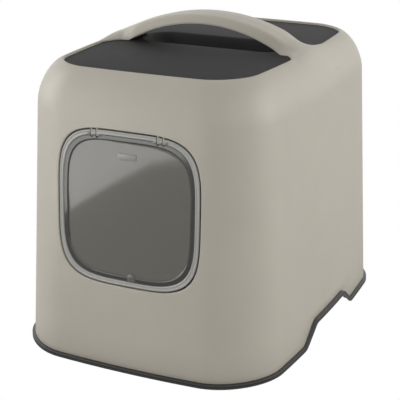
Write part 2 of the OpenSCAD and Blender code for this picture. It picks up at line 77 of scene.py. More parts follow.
def half_round(radius: float, steps: int) -> list[tuple[float, float]]:
    """Returns the lower half of a circle, from its left end to its right."""
    angles = [math.pi * (1 + t) for t in shares(steps)]
    return [(radius * math.cos(a), radius * math.sin(a)) for a in angles]


def linear(hex_colour: str) -> tuple[float, float, float, float]:
    """Turns an sRGB hex colour into Blender's linear one.

    Args:
        hex_colour: Six hex digits after a hash sign.

    Returns:
        Red, green and blue in linear light, and an alpha of 1.
    """
    values = [int(hex_colour[i:i + 2], 16) / 255 for i in (1, 3, 5)]
    red, green, blue = (v / 12.92 if v <= 0.04045 else ((v + 0.055) / 1.055) ** 2.4 for v in values)
    return red, green, blue, 1.0


@dataclass(frozen=True)
class Outline:
    """A rounded rectangle whose four sides swell outwards, in mm."""

    half_w: float
    half_d: float
    corner: float
    side_swell: float
    end_swell: float
    least_corner: ClassVar[float] = 3.0

    def inset(self, d: float) -> "Outline":
        """Returns the outline drawn in by d."""
        corner = max(self.least_corner, self.corner - d)
        return replace(self, half_w=self.half_w - d, half_d=self.half_d - d, corner=corner)

    def mixed(self, other: "Outline", t: float) -> "Outline":
        """Returns the outline a share t of the way to another."""
        pairs = zip(astuple(self), astuple(other))
        return Outline(*(mix(mine, theirs, t) for mine, theirs in pairs))

    def swollen(self, x: float, y: float) -> tuple[float, float]:
        """Moves a point of the plain rectangle out to the swollen side."""
        side = self.side_swell * (1 - (y / self.half_d) ** 2) * min(1.0, abs(x) / self.half_w) ** 2
        end = self.end_swell * (1 - (x / self.half_w) ** 2) * min(1.0, abs(y) / self.half_d) ** 2
        return x + math.copysign(side, x), y + math.copysign(end, y)

    def side_x(self, y: float) -> float:
        """Returns how far the long side reaches at y."""
        return self.half_w + self.side_swell * (1 - (y / self.half_d) ** 2)

    def plain_front(self, x: float) -> float:
        """Returns the plain rectangle's front edge at x, before it swells."""
        over = abs(x) - (self.half_w - self.corner)
        drop = 0.0 if over <= 0 else self.corner - math.sqrt(max(0.0, self.corner ** 2 - over ** 2))
        return drop - self.half_d

    def front_y(self, x: float) -> float:
        """Returns the swollen front edge at x.

        Args:
            x: Place across the width, inside the outline.

        Returns:
            The y of the front edge, which is negative.
        """
        plain = x
        for _ in range(5):
            got, _y = self.swollen(plain, self.plain_front(plain))
            plain += x - got
        return self.swollen(plain, self.plain_front(plain))[1]

    def points(self, arc: int, wide: int, deep: int) -> list[tuple[float, float]]:
        """Walks round the outline from the right side's rear end.

        Args:
            arc: Steps in each corner.
            wide: Steps along the front and along the back.
            deep: Steps along each long side.

        Returns:
            Points of the outline, anticlockwise from above.
        """
        a, b, r = self.half_w, self.half_d, self.corner
        centres = ((a - r, b - r), (r - a, b - r), (r - a, r - b), (a - r, r - b))
        plain: list[tuple[float, float]] = []
        for quarter, (cx, cy) in enumerate(centres):
            for t in shares(arc):
                angle = math.pi / 2 * (quarter + t)
                plain.append((cx + r * math.cos(angle), cy + r * math.sin(angle)))
            nx, ny = centres[(quarter + 1) % 4]
            turn = math.pi / 2 * (quarter + 1)
            end = (nx + r * math.cos(turn), ny + r * math.sin(turn))
            steps = wide if quarter % 2 == 0 else deep
            start = plain[-1]
            plain += [(mix(start[0], end[0], t), mix(start[1], end[1], t)) for t in shares(steps)[1:-1]]
        return [self.swollen(x, y) for x, y in plain]


@dataclass(frozen=True)
class Body:
    """The sizes that the pieces share, in mm, as the CAD source has them."""

    base: Outline = Outline(179.9, 243.9, 77.5, 12.8, 11.1)
    rim: Outline = Outline(130.4, 197.1, 50.0, 11.9, 4.7)
    flange_h: float = 5.6
    flange_ledge: float = 4.2
    roof_z: float = 387.3
    wall: float = 2.6
    draft: float = math.radians(2.5)
    shoulder_h: float = 55.0
    shoulder_n: float = 1.65
    wall_top_r: float = 67.0
    seat_gap: float = 0.3
    hood_fit: float = 1.0
    panel_recess: float = 2.9
    arc_steps: int = 18
    wide_steps: int = 30
    deep_steps: int = 84

    @property
    def lean(self) -> float:
        """Returns how far a wall leans in for each mm of height."""
        return math.tan(self.draft)

    @property
    def wall_top_z(self) -> float:
        """Returns the height where the wall turns into the shoulder."""
        return self.roof_z - self.shoulder_h

    @property
    def panel_z(self) -> float:
        """Returns the height of the panel's face."""
        return self.roof_z - self.panel_recess

    @property
    def front(self) -> float:
        """Returns where the leaning front wall's plane meets the floor."""
        return -(self.base.half_d + self.base.end_swell - self.flange_ledge) - self.flange_h * self.lean

    @property
    def wall_top(self) -> Outline:
        """Returns the hood's outline at the foot of the shoulder."""
        inset = self.flange_ledge + (self.wall_top_z - self.flange_h) * self.lean
        return replace(self.base.inset(inset), corner=self.wall_top_r)

    def wall_at(self, z: float, d: float = 0.0) -> Outline:
        """Returns the hood's outline at height z, drawn in by d."""
        low = self.base.inset(self.flange_ledge)
        t = (z - self.flange_h) / (self.wall_top_z - self.flange_h)
        return low.mixed(self.wall_top, t).inset(d)

    def round(self, outline: Outline, z: float) -> Ring:
        """Returns a level ring of the standard point count."""
        return [(x, y, z) for x, y in outline.points(self.arc_steps, self.wide_steps, self.deep_steps)]

    def shoulder(self, x: float, y: float) -> float:
        """Returns the height of the shoulder's surface beside the handle."""
        outer, inner = self.wall_top.side_x(y), self.rim.side_x(y)
        inward = min(1.0, max(0.0, (outer - abs(x)) / (outer - inner)))
        n = self.shoulder_n
        return self.wall_top_z + self.shoulder_h * (1 - (1 - inward) ** n) ** (1 / n)

    def on_front(self, x: float, up: float, d: float) -> Point:
        """Returns a point of the front wall.

        Args:
            x: Place across the width.
            up: Distance up the leaning wall.
            d: Depth behind the wall's outer surface.

        Returns:
            The point in the row frame.
        """
        z = up * math.cos(self.draft) - d * math.sin(self.draft)
        return x, self.wall_at(z, d).front_y(x), z

    def in_wall(self, x: float, back: float, up: float) -> Point:
        """Returns a point given in the front wall's flat, leaning plane."""
        c, s = math.cos(self.draft), math.sin(self.draft)
        return x, self.front + back * c + up * s, up * c - back * s


BODY = Body()


@dataclass(frozen=True)
class Grips:
    """The line of the hand grips in both sides, seen along X, in mm."""

    height: float = 26.0
    half_foot: float = 90.0
    half_top: float = 55.0
    foot_r: float = 22.0
    top_r: float = 12.0

    def line(self, y: float, d: float) -> float:
        """Returns the height of the line at y, moved out by d.

        Args:
            y: Place along the depth.
            d: Distance of the moved line from the grip's own edge.

        Returns:
            The height above the floor.
        """
        slope = math.atan2(self.height, self.half_foot - self.half_top)
        shift = d * math.tan(slope / 2)
        foot, top = self.half_foot + shift, self.half_top + shift
        foot_r, top_r = self.foot_r - d, self.top_r + d
        foot_cut, top_cut = foot_r * math.tan(slope / 2), top_r * math.tan(slope / 2)
        at = abs(y)
        if at >= foot + foot_cut:
            return d
        if at > foot - foot_cut * math.cos(slope):
            return d + foot_r - math.sqrt(max(0.0, foot_r ** 2 - (foot + foot_cut - at) ** 2))
        if at > top + top_cut * math.cos(slope):
            return d + (foot - at) * math.tan(slope)
        if at > top - top_cut:
            return d + self.height - top_r + math.sqrt(max(0.0, top_r ** 2 - (at - top + top_cut) ** 2))
        return d + self.height


GRIPS = Grips()


@dataclass(frozen=True)
class Doorway:
    """The squarish doorway in the front wall, in mm up the leaning wall."""

    half_w: float = 101.4
    half_h: float = 102.1
    mid: float = 219.0
    squareness: float = 4.05
    gap: float = 1.8
    hinge_x: float = 46.5
    hinge_back: float = 4.2
    hinge_drop: float = 7.4
    ear_x: float = 3.9
    catch_x: float = 6.5
    catch_rise: float = 11.2
    catch_bite: float = 1.6
    steps: int = 192

    def outline(self, grow: float) -> list[tuple[float, float]]:
        """Returns the doorway's outline as (x, up) points, grown by some mm."""
        return self.scaled(self.half_w + grow, self.half_h + grow)

    def scaled(self, half_w: float, half_h: float) -> list[tuple[float, float]]:
        """Returns an outline of the doorway's form with the half sizes given."""
        points = []
        for k in range(self.steps):
            t = 2 * math.pi * k / self.steps
            cosine, sine = math.cos(t), math.sin(t)
            x = math.copysign(abs(cosine) ** (2 / self.squareness), cosine) * half_w
            up = math.copysign(abs(sine) ** (2 / self.squareness), sine) * half_h
            points.append((x, self.mid + up))
        return points

    @property
    def top(self) -> float:
        """Returns the height of the doorway's top edge."""
        return self.mid + self.half_h

    @property
    def foot(self) -> float:
        """Returns the height of the doorway's lower edge."""
        return self.mid - self.half_h

    @property
    def hinge_up(self) -> float:
        """Returns the height of the hinge line."""
        return self.top - self.gap - self.hinge_drop

    @property
    def hinge_in(self) -> float:
        """Returns the depth of the hinge line behind the wall's plane."""
        return self.hinge_back + BODY.base.end_swell * (self.hinge_x / BODY.wall_top.half_w) ** 2

    @property
    def catch_up(self) -> float:
        """Returns the height of the catch's axis."""
        return self.foot + self.gap + self.catch_rise

    @property
    def lever_reach(self) -> float:
        """Returns how far the catch's lever reaches, to bite behind the sill."""
        return self.catch_rise + self.gap + self.catch_bite

    @property
    def ears(self) -> list[float]:
        """Returns the places of the four hinge ears across the width."""
        return [hinge + side for hinge in (-self.hinge_x, self.hinge_x) for side in (-self.ear_x, self.ear_x)]


DOOR = Doorway()


class Mesh:
    """A bmesh in mm that becomes one finished piece in metres."""

    def __init__(self) -> None:
        """Starts with nothing in it."""
        self.bm = bmesh.new()

    def ring(self, places: Sequence[Point]) -> list[bmesh.types.BMVert]:
        """Lays a closed ring of vertices on the places given.

        Args:
            places: One place for each vertex of the ring.

        Returns:
            The ring's vertices in order.
        """
        made = bmesh.ops.create_circle(self.bm, cap_ends=False, radius=1.0, segments=len(places))
        loop = [made["verts"][0]]
        while len(loop) < len(places):
            near = [edge.other_vert(loop[-1]) for edge in loop[-1].link_edges]
            loop.append(next(vert for vert in near if vert not in loop[-2:]))
        for vert, place in zip(loop, places):
            vert.co = place
        return loop

    def edges_of(self, ring: Sequence[bmesh.types.BMVert]) -> list[bmesh.types.BMEdge]:
        """Returns the edges that run round a ring."""
        return [self.bm.edges.get((a, b)) for a, b in zip(ring, list(ring[1:]) + [ring[0]])]

    def grow(self, ring: Sequence[bmesh.types.BMVert], places: Sequence[Point]) -> list[bmesh.types.BMVert]:
        """Extrudes a ring and lays the new one on the places given.

        Args:
            ring: The ring that is extruded.
            places: One place for each vertex of the new ring.

        Returns:
            The new ring's vertices in the same order.
        """
        old = set(ring)
        made = bmesh.ops.extrude_edge_only(self.bm, edges=self.edges_of(ring))
        fresh = {item for item in made["geom"] if isinstance(item, bmesh.types.BMVert)} - old
        grown = []
        for vert, place in zip(ring, places):
            pair = next(e.other_vert(vert) for e in vert.link_edges if e.other_vert(vert) in fresh)
            grown.append(pair)
            pair.co = place
        return grown

    def loft(self, rings: Sequence[Ring], closed: bool = False) -> None:
        """Draws a skin through rings.

        Args:
            rings: Rings that all hold the same number of places.
            closed: Whether the last ring joins the first. Otherwise both ends are capped.
        """
        first = self.ring(rings[0])
        last = first
        for places in rings[1:]:
            last = self.grow(last, places)
        if closed:
            last = self.grow(last, rings[0])
            bmesh.ops.remove_doubles(self.bm, verts=first + last, dist=1e-4)
            return
        for ends in (first, last):
            bmesh.ops.holes_fill(self.bm, edges=self.edges_of(ends), sides=0)

    def block(self, low: Point, high: Point, bevel: float = 0.0, segments: int = 2) -> None:
        """Adds a box with rounded edges.

        Args:
            low: The box's lowest corner.
            high: The box's highest corner.
            bevel: Radius of its edges.
            segments: Steps in each rounded edge.
        """
        size = [h - l for l, h in zip(low, high)]
        middle = Vector([(h + l) / 2 for l, h in zip(low, high)])
        made = bmesh.ops.create_cube(self.bm, size=1.0)
        verts = made["verts"]
        bmesh.ops.scale(self.bm, vec=size, verts=verts)
        bmesh.ops.translate(self.bm, vec=middle, verts=verts)
        if bevel > 0:
            self.round_edges({e for v in verts for e in v.link_edges}, bevel, segments)

    def round_edges(self, edges: Iterable[bmesh.types.BMEdge], radius: float, segments: int = 2) -> None:
        """Bevels edges to a radius."""
        bmesh.ops.bevel(
            self.bm, geom=list(edges), offset=radius, offset_type="OFFSET", affect="EDGES",
            segments=segments, profile=0.5, material=-1, clamp_overlap=True,
        )

    def rod(self, start: Point, end: Point, radius: float, segments: int = 40) -> None:
        """Adds a round rod with rounded ends.

        Args:
            start: Middle of one end.
            end: Middle of the other end.
            radius: Radius of the rod.
            segments: Sides of the rod.
        """
        a, b = Vector(start), Vector(end)
        turn = (b - a).to_track_quat("Z", "Y").to_matrix().to_4x4()
        made = bmesh.ops.create_cone(
            self.bm, cap_ends=True, segments=segments, radius1=radius, radius2=radius,
            depth=(b - a).length, matrix=Matrix.Translation((a + b) / 2) @ turn,
        )
        around = {e for v in made["verts"] for e in v.link_edges}
        self.round_edges([e for e in around if e.calc_face_angle(0) > ROD_END_ANGLE], ROD_END_ROUND)

    def plate(self, corners: Sequence[Point], along: Point, bevel: float) -> None:
        """Adds a flat plate from its outline.

        Args:
            corners: The outline of one face.
            along: How far and which way the plate is thick.
            bevel: Radius of its edges.
        """
        ring = self.ring(corners)
        made = bmesh.ops.holes_fill(self.bm, edges=self.edges_of(ring), sides=0)
        grown = bmesh.ops.extrude_face_region(self.bm, geom=made["faces"])
        verts = [v for v in grown["geom"] if isinstance(v, bmesh.types.BMVert)]
        bmesh.ops.translate(self.bm, vec=along, verts=verts)
        faces = {f for v in ring + verts for f in v.link_faces}
        bmesh.ops.recalc_face_normals(self.bm, faces=list(faces))
        around = {e for f in faces for e in f.edges}
        self.round_edges([e for e in around if e.calc_face_angle(0) > PLATE_EDGE_ANGLE], bevel)

    def settle(self, name: str) -> bpy.types.Object:
        """Turns the bmesh into a plain object in metres and lets the bmesh go."""
        bmesh.ops.scale(self.bm, vec=(MM, MM, MM), verts=self.bm.verts[:])
        mesh = bpy.data.meshes.new(name)
        self.bm.to_mesh(mesh)
        self.bm.free()
        made = bpy.data.objects.new(name, mesh)
        bpy.context.scene.collection.objects.link(made)
        return made

    def cutter(self) -> bpy.types.Object:
        """Turns the bmesh into a plain object for cutting."""
        bmesh.ops.recalc_face_normals(self.bm, faces=self.bm.faces[:])
        return self.settle("cutter")

    def piece(self, name: str, body: str, finishes: Sequence[bpy.types.Material],
              replaces: Sequence[str] = (), zone: Callable[[Vector], int] | None = None) -> bpy.types.Object:
        """Turns the bmesh into a piece that rides on a body.

        Args:
            name: Name of the piece.
            body: Body that carries it.
            finishes: Materials, the first one for all faces that no zone names.
            replaces: CAD nodes that the piece stands for.
            zone: Gives the number of a face's material from the face's middle in mm.

        Returns:
            The finished object.
        """
        bmesh.ops.recalc_face_normals(self.bm, faces=self.bm.faces[:])
        for face in self.bm.faces:
            face.smooth = True
            if zone is not None:
                face.material_index = zone(face.calc_center_median())
        for edge in self.bm.edges:
            edge.smooth = edge.calc_face_angle(0) < SHARP_ANGLE
        made = self.settle(name)
        for finish in finishes:
            made.data.materials.append(finish)
        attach(made, body)
        if replaces:
            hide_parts(*replaces)
        LOG.info("%s: %d faces on %s", name, len(made.data.polygons), body)
        return made


def cut(target: bpy.types.Object, cutters: Sequence[bpy.types.Object]) -> None:
    """Cuts solids out of a piece and removes them.

    Args:
        target: The piece that is cut.
        cutters: Plain objects that are taken away from it.
    """
    for cutter in cutters:
        modifier = target.modifiers.new("cut", "BOOLEAN")
        modifier.operation = "DIFFERENCE"
        modifier.solver = "EXACT"
        modifier.object = cutter
    graph = bpy.context.evaluated_depsgraph_get()
    mesh = bpy.data.meshes.new_from_object(target.evaluated_get(graph))
    target.modifiers.clear()
    old = target.data
    target.data = mesh
    mesh.name = old.name
    bpy.data.meshes.remove(old)
    for cutter in cutters:
        bpy.data.objects.remove(cutter)
    tidy = bmesh.new()
    tidy.from_mesh(mesh)
    bmesh.ops.remove_doubles(tidy, verts=tidy.verts[:], dist=2e-6)
    for edge in tidy.edges:
        edge.smooth = edge.calc_face_angle(0) < SHARP_ANGLE
    for face in tidy.faces:
        face.smooth = True
    tidy.to_mesh(mesh)
    tidy.free()


@dataclass
class Recipe:
    """A material's node tree while it is being written."""

    name: str
    tree: bpy.types.NodeTree = field(init=False)
    material: bpy.types.Material = field(init=False)

    def __post_init__(self) -> None:
        """Makes an empty material."""
        self.material = bpy.data.materials.new(self.name)
        self.material.use_nodes = True
        self.tree = self.material.node_tree
        self.tree.nodes.clear()

    def node(self, kind: str, settings: dict | None = None, inputs: dict | None = None) -> bpy.types.Node:
        """Adds a node with its settings and links.

        Args:
            kind: Type name of the node.
            settings: Attributes to set on it.
            inputs: Values or output sockets for its inputs, by name or number.

        Returns:
            The new node.
        """
        made = self.tree.nodes.new(kind)
        for key, value in (settings or {}).items():
            setattr(made, key, value)
        for key, value in (inputs or {}).items():
            if isinstance(value, bpy.types.NodeSocket):
                self.tree.links.new(value, made.inputs[key])
            else:
                made.inputs[key].default_value = value
        return made

    def place(self, turn: float = 0.0) -> bpy.types.NodeSocket:
        """Returns Object coordinates, turned about Z."""
        source = self.node("ShaderNodeTexCoord").outputs["Object"]
        return self.node("ShaderNodeMapping", {}, {"Vector": source, "Rotation": (0.0, 0.0, turn)}).outputs[0]

    def finish(self, shader: bpy.types.Node) -> bpy.types.Material:
        """Links the shader to the output and returns the material."""
        self.node("ShaderNodeOutputMaterial", {}, {"Surface": shader.outputs[0]})
        return self.material


@dataclass(frozen=True)
class MouldedPolypropylene:
    """Injection-moulded polypropylene with a spark-eroded satin grain.

    The grain gives wide soft highlights, and the resin gives a slightly waxy depth. Grain of
    0.15 mm is too fine for the picture, so it is drawn 0.9 mm wide. The clouds are the faint
    unevenness of the colour across a large moulding.
    """

    name: str
    colour: str
    shade: str
    roughness: float
    wax: float = 0.04
    wax_mm: float = 1.2
    grain_mm: float = 0.9
    grain_depth_mm: float = 0.1
    grain_strength: float = 0.05
    rough_spread: float = 0.04
    cloud_mm: float = 70.0

    def material(self) -> bpy.types.Material:
        """Returns the finished material."""
        recipe = Recipe(self.name)
        grain = recipe.node("ShaderNodeTexNoise", {}, {
            "Vector": recipe.place(), "Scale": 1 / (self.grain_mm * MM), "Detail": 3.0, "Roughness": 0.55,
        }).outputs[0]
        cloud = recipe.node("ShaderNodeTexNoise", {}, {
            "Vector": recipe.place(), "Scale": 1 / (self.cloud_mm * MM), "Detail": 2.0, "Roughness": 0.5,
        }).outputs[0]
        share = recipe.node("ShaderNodeMapRange", {}, {"Value": cloud, "From Min": 0.3, "From Max": 0.7})
        colour = recipe.node("ShaderNodeMix", {"data_type": "RGBA"}, {
            0: share.outputs[0], 6: linear(self.shade), 7: linear(self.colour),
        })
        bump = recipe.node("ShaderNodeBump", {}, {
            "Height": grain, "Strength": self.grain_strength, "Distance": self.grain_depth_mm * MM,
        })
        rough = recipe.node("ShaderNodeMapRange", {}, {
            "Value": grain, "From Min": 0.3, "From Max": 0.7,
            "To Min": self.roughness - self.rough_spread, "To Max": self.roughness + self.rough_spread,
        })
        return recipe.finish(recipe.node("ShaderNodeBsdfPrincipled", {}, {
            "Base Color": colour.outputs[2], "Roughness": rough.outputs[0], "IOR": 1.49,
            "Normal": bump.outputs[0], "Subsurface Weight": self.wax, "Subsurface Scale": self.wax_mm * MM,
        }))


@dataclass(frozen=True)
class DiamondPanel:
    """Dark polypropylene moulded with a lattice of small diamonds.

    The lattice breaks the gloss into rows of fine dots. Its lines are 2.5 mm apart, and its grooves are
    darkened with painted shade.
    """

    name: str = "Diamond-textured dark polypropylene"
    colour: str = "#202020"
    groove_painted_shade: str = "#0A0A0A"
    line_mm: float = 2.5
    groove_mm: float = 0.5
    roughness: float = 0.6
    gloss: float = 0.18

    def waves(self, recipe: Recipe, degrees: float) -> bpy.types.NodeSocket:
        """Returns one set of diagonal grooves, from 0 to 1."""
        return recipe.node("ShaderNodeTexWave", {"wave_type": "BANDS", "bands_direction": "X"}, {
            "Vector": recipe.place(math.radians(degrees)), "Scale": math.pi / 10 / (self.line_mm * MM),
        }).outputs["Fac"]

    def material(self) -> bpy.types.Material:
        """Returns the finished material."""
        recipe = Recipe(self.name)
        lattice = recipe.node("ShaderNodeMath", {"operation": "MULTIPLY"}, {
            0: self.waves(recipe, 45), 1: self.waves(recipe, -45),
        }).outputs[0]
        share = recipe.node("ShaderNodeMapRange", {}, {"Value": lattice, "From Min": 0.05, "From Max": 0.6})
        # The grooves are mixed towards a darker colour: painted shade in the lattice's recesses.
        colour = recipe.node("ShaderNodeMix", {"data_type": "RGBA"}, {
            0: share.outputs[0], 6: linear(self.groove_painted_shade), 7: linear(self.colour),
        })
        bump = recipe.node("ShaderNodeBump", {}, {
            "Height": lattice, "Strength": 0.8, "Distance": self.groove_mm * MM,
        })
        return recipe.finish(recipe.node("ShaderNodeBsdfPrincipled", {}, {
            "Base Color": colour.outputs[2], "Roughness": self.roughness, "IOR": 1.49,
            "Specular IOR Level": self.gloss, "Normal": bump.outputs[0],
        }))


@dataclass(frozen=True)
class SmokedPane:
    """Smoked styrene: hazy inside, so that only near things show through, under a polished skin."""

    name: str = "Smoked hazy styrene"
    colour: str = "#8B8A82"
    clear: float = 0.55
    haze: float = 0.3
    polish: float = 0.07

    def material(self) -> bpy.types.Material:
        """Returns the finished material."""
        recipe = Recipe(self.name)
        return recipe.finish(recipe.node("ShaderNodeBsdfPrincipled", {}, {
            "Base Color": linear(self.colour), "Roughness": self.haze, "IOR": 1.2,
            "Transmission Weight": self.clear,
            "Coat Weight": 1.0, "Coat Roughness": self.polish, "Coat IOR": 1.57,
        }))


@dataclass(frozen=True)
class FrostedStyrene:
    """Styrene etched in the mould, so that it looks lighter than the polished pane.

    The etching gives a soft sheen. Its grain is drawn 0.8 mm wide, so that it shows.
    """

    name: str = "Frosted smoked styrene"
    colour: str = "#A2A29E"
    roughness: float = 0.25
    grain_mm: float = 0.8
    grain_depth_mm: float = 0.1

    def material(self) -> bpy.types.Material:
        """Returns the finished material."""
        recipe = Recipe(self.name)
        grain = recipe.node("ShaderNodeTexNoise", {}, {
            "Vector": recipe.place(), "Scale": 1 / (self.grain_mm * MM), "Detail": 2.0,
        })
        bump = recipe.node("ShaderNodeBump", {}, {
            "Height": grain.outputs[0], "Strength": 0.05, "Distance": self.grain_depth_mm * MM,
        })
        return recipe.finish(recipe.node("ShaderNodeBsdfPrincipled", {}, {
            "Base Color": linear(self.colour), "Roughness": self.roughness, "IOR": 1.57,
            "Normal": bump.outputs[0],
        }))


@dataclass(frozen=True)
class CharcoalFelt:
    """Needled felt loaded with charcoal: a dull black nap with grey fibres."""

    name: str = "Charcoal felt"
    colour: str = "#1E1E1E"
    fibre: str = "#3C3C3B"
    nap_mm: float = 1.6
    nap_depth_mm: float = 0.6

    def material(self) -> bpy.types.Material:
        """Returns the finished material."""
        recipe = Recipe(self.name)
        nap = recipe.node("ShaderNodeTexNoise", {}, {
            "Vector": recipe.place(), "Scale": 1 / (self.nap_mm * MM), "Detail": 6.0, "Roughness": 0.75,
        }).outputs[0]
        share = recipe.node("ShaderNodeMapRange", {}, {"Value": nap, "From Min": 0.45, "From Max": 0.7})
        colour = recipe.node("ShaderNodeMix", {"data_type": "RGBA"}, {
            0: share.outputs[0], 6: linear(self.colour), 7: linear(self.fibre),
        })
        bump = recipe.node("ShaderNodeBump", {}, {
            "Height": nap, "Strength": 0.7, "Distance": self.nap_depth_mm * MM,
        })
        return recipe.finish(recipe.node("ShaderNodeBsdfPrincipled", {}, {
            "Base Color": colour.outputs[2], "Roughness": 0.95, "Sheen Weight": 0.3,
            "Normal": bump.outputs[0],
        }))


@dataclass
class Finishes:
    """The materials of all pieces, made once."""

    hood: bpy.types.Material = field(default_factory=lambda: MouldedPolypropylene(
        "Warm grey satin polypropylene", "#B7B2A6", "#B4AFA3", 0.46).material())
    tray: bpy.types.Material = field(default_factory=lambda: MouldedPolypropylene(
        "Dark grey satin polypropylene", "#3A3A39", "#373737", 0.36, wax=0.0).material())
    panel: bpy.types.Material = field(default_factory=lambda: DiamondPanel().material())
    pane: bpy.types.Material = field(default_factory=lambda: SmokedPane().material())
    # The band's darker colour is painted shade: it stands in for the shaded return wall seen through the pane.
    band: bpy.types.Material = field(default_factory=lambda: SmokedPane(
        "Smoked styrene darkened with painted shade", "#555650", 0.6).material())
    ring: bpy.types.Material = field(default_factory=lambda: FrostedStyrene().material())
    plate: bpy.types.Material = field(default_factory=lambda: FrostedStyrene(
        "Frosted plate", "#8E8E8A", 0.35).material())
    felt: bpy.types.Material = field(default_factory=lambda: CharcoalFelt().material())


@dataclass
class Tray:
    """The lower tray: flange, leaning skirt, folded rim and sloping tub."""

    height: float = 104.0
    wall: float = 2.6
    rim_round: float = 4.0
    rim_w: float = 13.0
    tub_set_in: float = 52.0
    tub_r: float = 52.0
    tub_bend: float = 9.0
    groove_w: float = 0.9
    groove_up: float = 4.0
    flange_edge: float = 0.7
    lip_r: float = 2.0
    middle_z: float = 60.0
    floor_rows: tuple[float, ...] = (20.0, 60.0, 100.0)

    @property
    def skirt_inset(self) -> float:
        """Returns how far the skirt's foot stands inside the flange's edge."""
        return BODY.flange_ledge + BODY.wall + BODY.hood_fit

    def skirt(self, z: float, d: float) -> Outline:
        """Returns the skirt's outline at height z, drawn in by d."""
        return BODY.wall_at(z, BODY.wall + BODY.hood_fit + d)

    def tub(self, inset: float, bend: float = 0.0) -> Outline:
        """Returns the tub's outline at an inset, with its floor bend taken off."""
        return replace(BODY.base.inset(inset), corner=self.tub_r).inset(bend)

    def grip_ring(self, inset: float, up: float) -> Ring:
        """Returns a ring that runs up over the hand grips."""
        flat = BODY.round(BODY.base.inset(inset), 0.0)
        return [(x, y, GRIPS.line(y, up)) for x, y, _ in flat]

    def skirt_foot(self, d: float, up: float) -> Ring:
        """Returns a ring at the foot of the skirt that runs up over the grips."""
        made = []
        flat = BODY.round(self.skirt(0.0, d), 0.0)
        for x, y, _ in flat:
            z = GRIPS.line(y, up)
            pull = 1 - z * BODY.lean / math.hypot(x, y)
            made.append((x * pull, y * pull, z))
        return made

    def bend_rings(self, inset: float, lift: float, angles: Sequence[float]) -> list[Ring]:
        """Returns the rings of the bend between the tub's floor and its side.

        Args:
            inset: Inset of the tub's side from the base's outline.
            lift: Height of the floor's surface.
            angles: Places round the bend, from 0 at the floor.

        Returns:
            One ring for each angle.
        """
        bend = self.tub_bend
        return [
            BODY.round(self.tub(inset, bend * (1 - math.sin(a))), lift + bend * (1 - math.cos(a)))
            for a in angles
        ]

    def rings(self) -> list[Ring]:
        """Returns the rings from the tub's floor round the tray to its underside."""
        head = self.skirt_inset + (self.height - BODY.flange_h) * BODY.lean + self.rim_w
        low, wall, edge, up = BODY.flange_h, self.wall, self.flange_edge, self.groove_up
        base = self.tub_set_in + wall
        inside = [BODY.round(self.tub(base, self.tub_bend + k), wall) for k in reversed(self.floor_rows)]
        inside.append(BODY.round(self.tub(base, self.tub_bend), wall))
        inside += self.bend_rings(base, wall, quarter(6)[1:])
        lip = self.lip_r
        rim = [BODY.round(self.tub(head + wall + lip), self.height - 3.0)]
        rim += [
            BODY.round(self.tub(head + wall + lip * math.cos(a)), self.height - lip + lip * math.sin(a))
            for a in quarter(4)
        ]
        rim.append(BODY.round(self.skirt(self.height, self.rim_round + 1.0), self.height))
        for a in reversed(quarter(6)):
            z = self.height - self.rim_round + self.rim_round * math.sin(a)
            rim.append(BODY.round(self.skirt(z, self.rim_round * (1 - math.cos(a))), z))
        outside = [BODY.round(self.skirt(self.middle_z, 0.0), self.middle_z), self.skirt_foot(0.0, low + 0.4)]
        flange = [self.grip_ring(inset, height) for inset, height in (
            (self.skirt_inset - 0.4, low), (edge, low), (edge * 0.3, low - edge * 0.3), (0.0, low - edge),
            (0.0, up), (self.groove_w, up - 0.15), (self.groove_w, up - self.groove_w + 0.15),
            (0.0, up - self.groove_w), (0.0, edge * 0.6), (edge * 0.3, edge * 0.15), (edge, 0.0),
            (wall, 0.0), (wall, low - wall), (self.skirt_inset + wall - 1.0, low - wall),
        )]
        under = [
            self.skirt_foot(wall, low - wall + 0.4),
            BODY.round(self.skirt(self.middle_z, wall), self.middle_z),
            BODY.round(self.skirt(self.height - wall, wall + 1.0), self.height - wall),
            BODY.round(self.tub(head), self.height - wall),
        ]
        under += self.bend_rings(self.tub_set_in, 0.0, quarter(6)[::-1])
        under += [BODY.round(self.tub(self.tub_set_in, self.tub_bend + k), 0.0) for k in self.floor_rows]
        return inside + rim + outside + flange + under

    def build(self, finishes: Finishes) -> bpy.types.Object:
        """Makes the tray and puts it in place of its CAD node."""
        shape = Mesh()
        shape.loft(self.rings())
        return shape.piece("tray_shell", "tray", [finishes.tray], ["base_tray"])


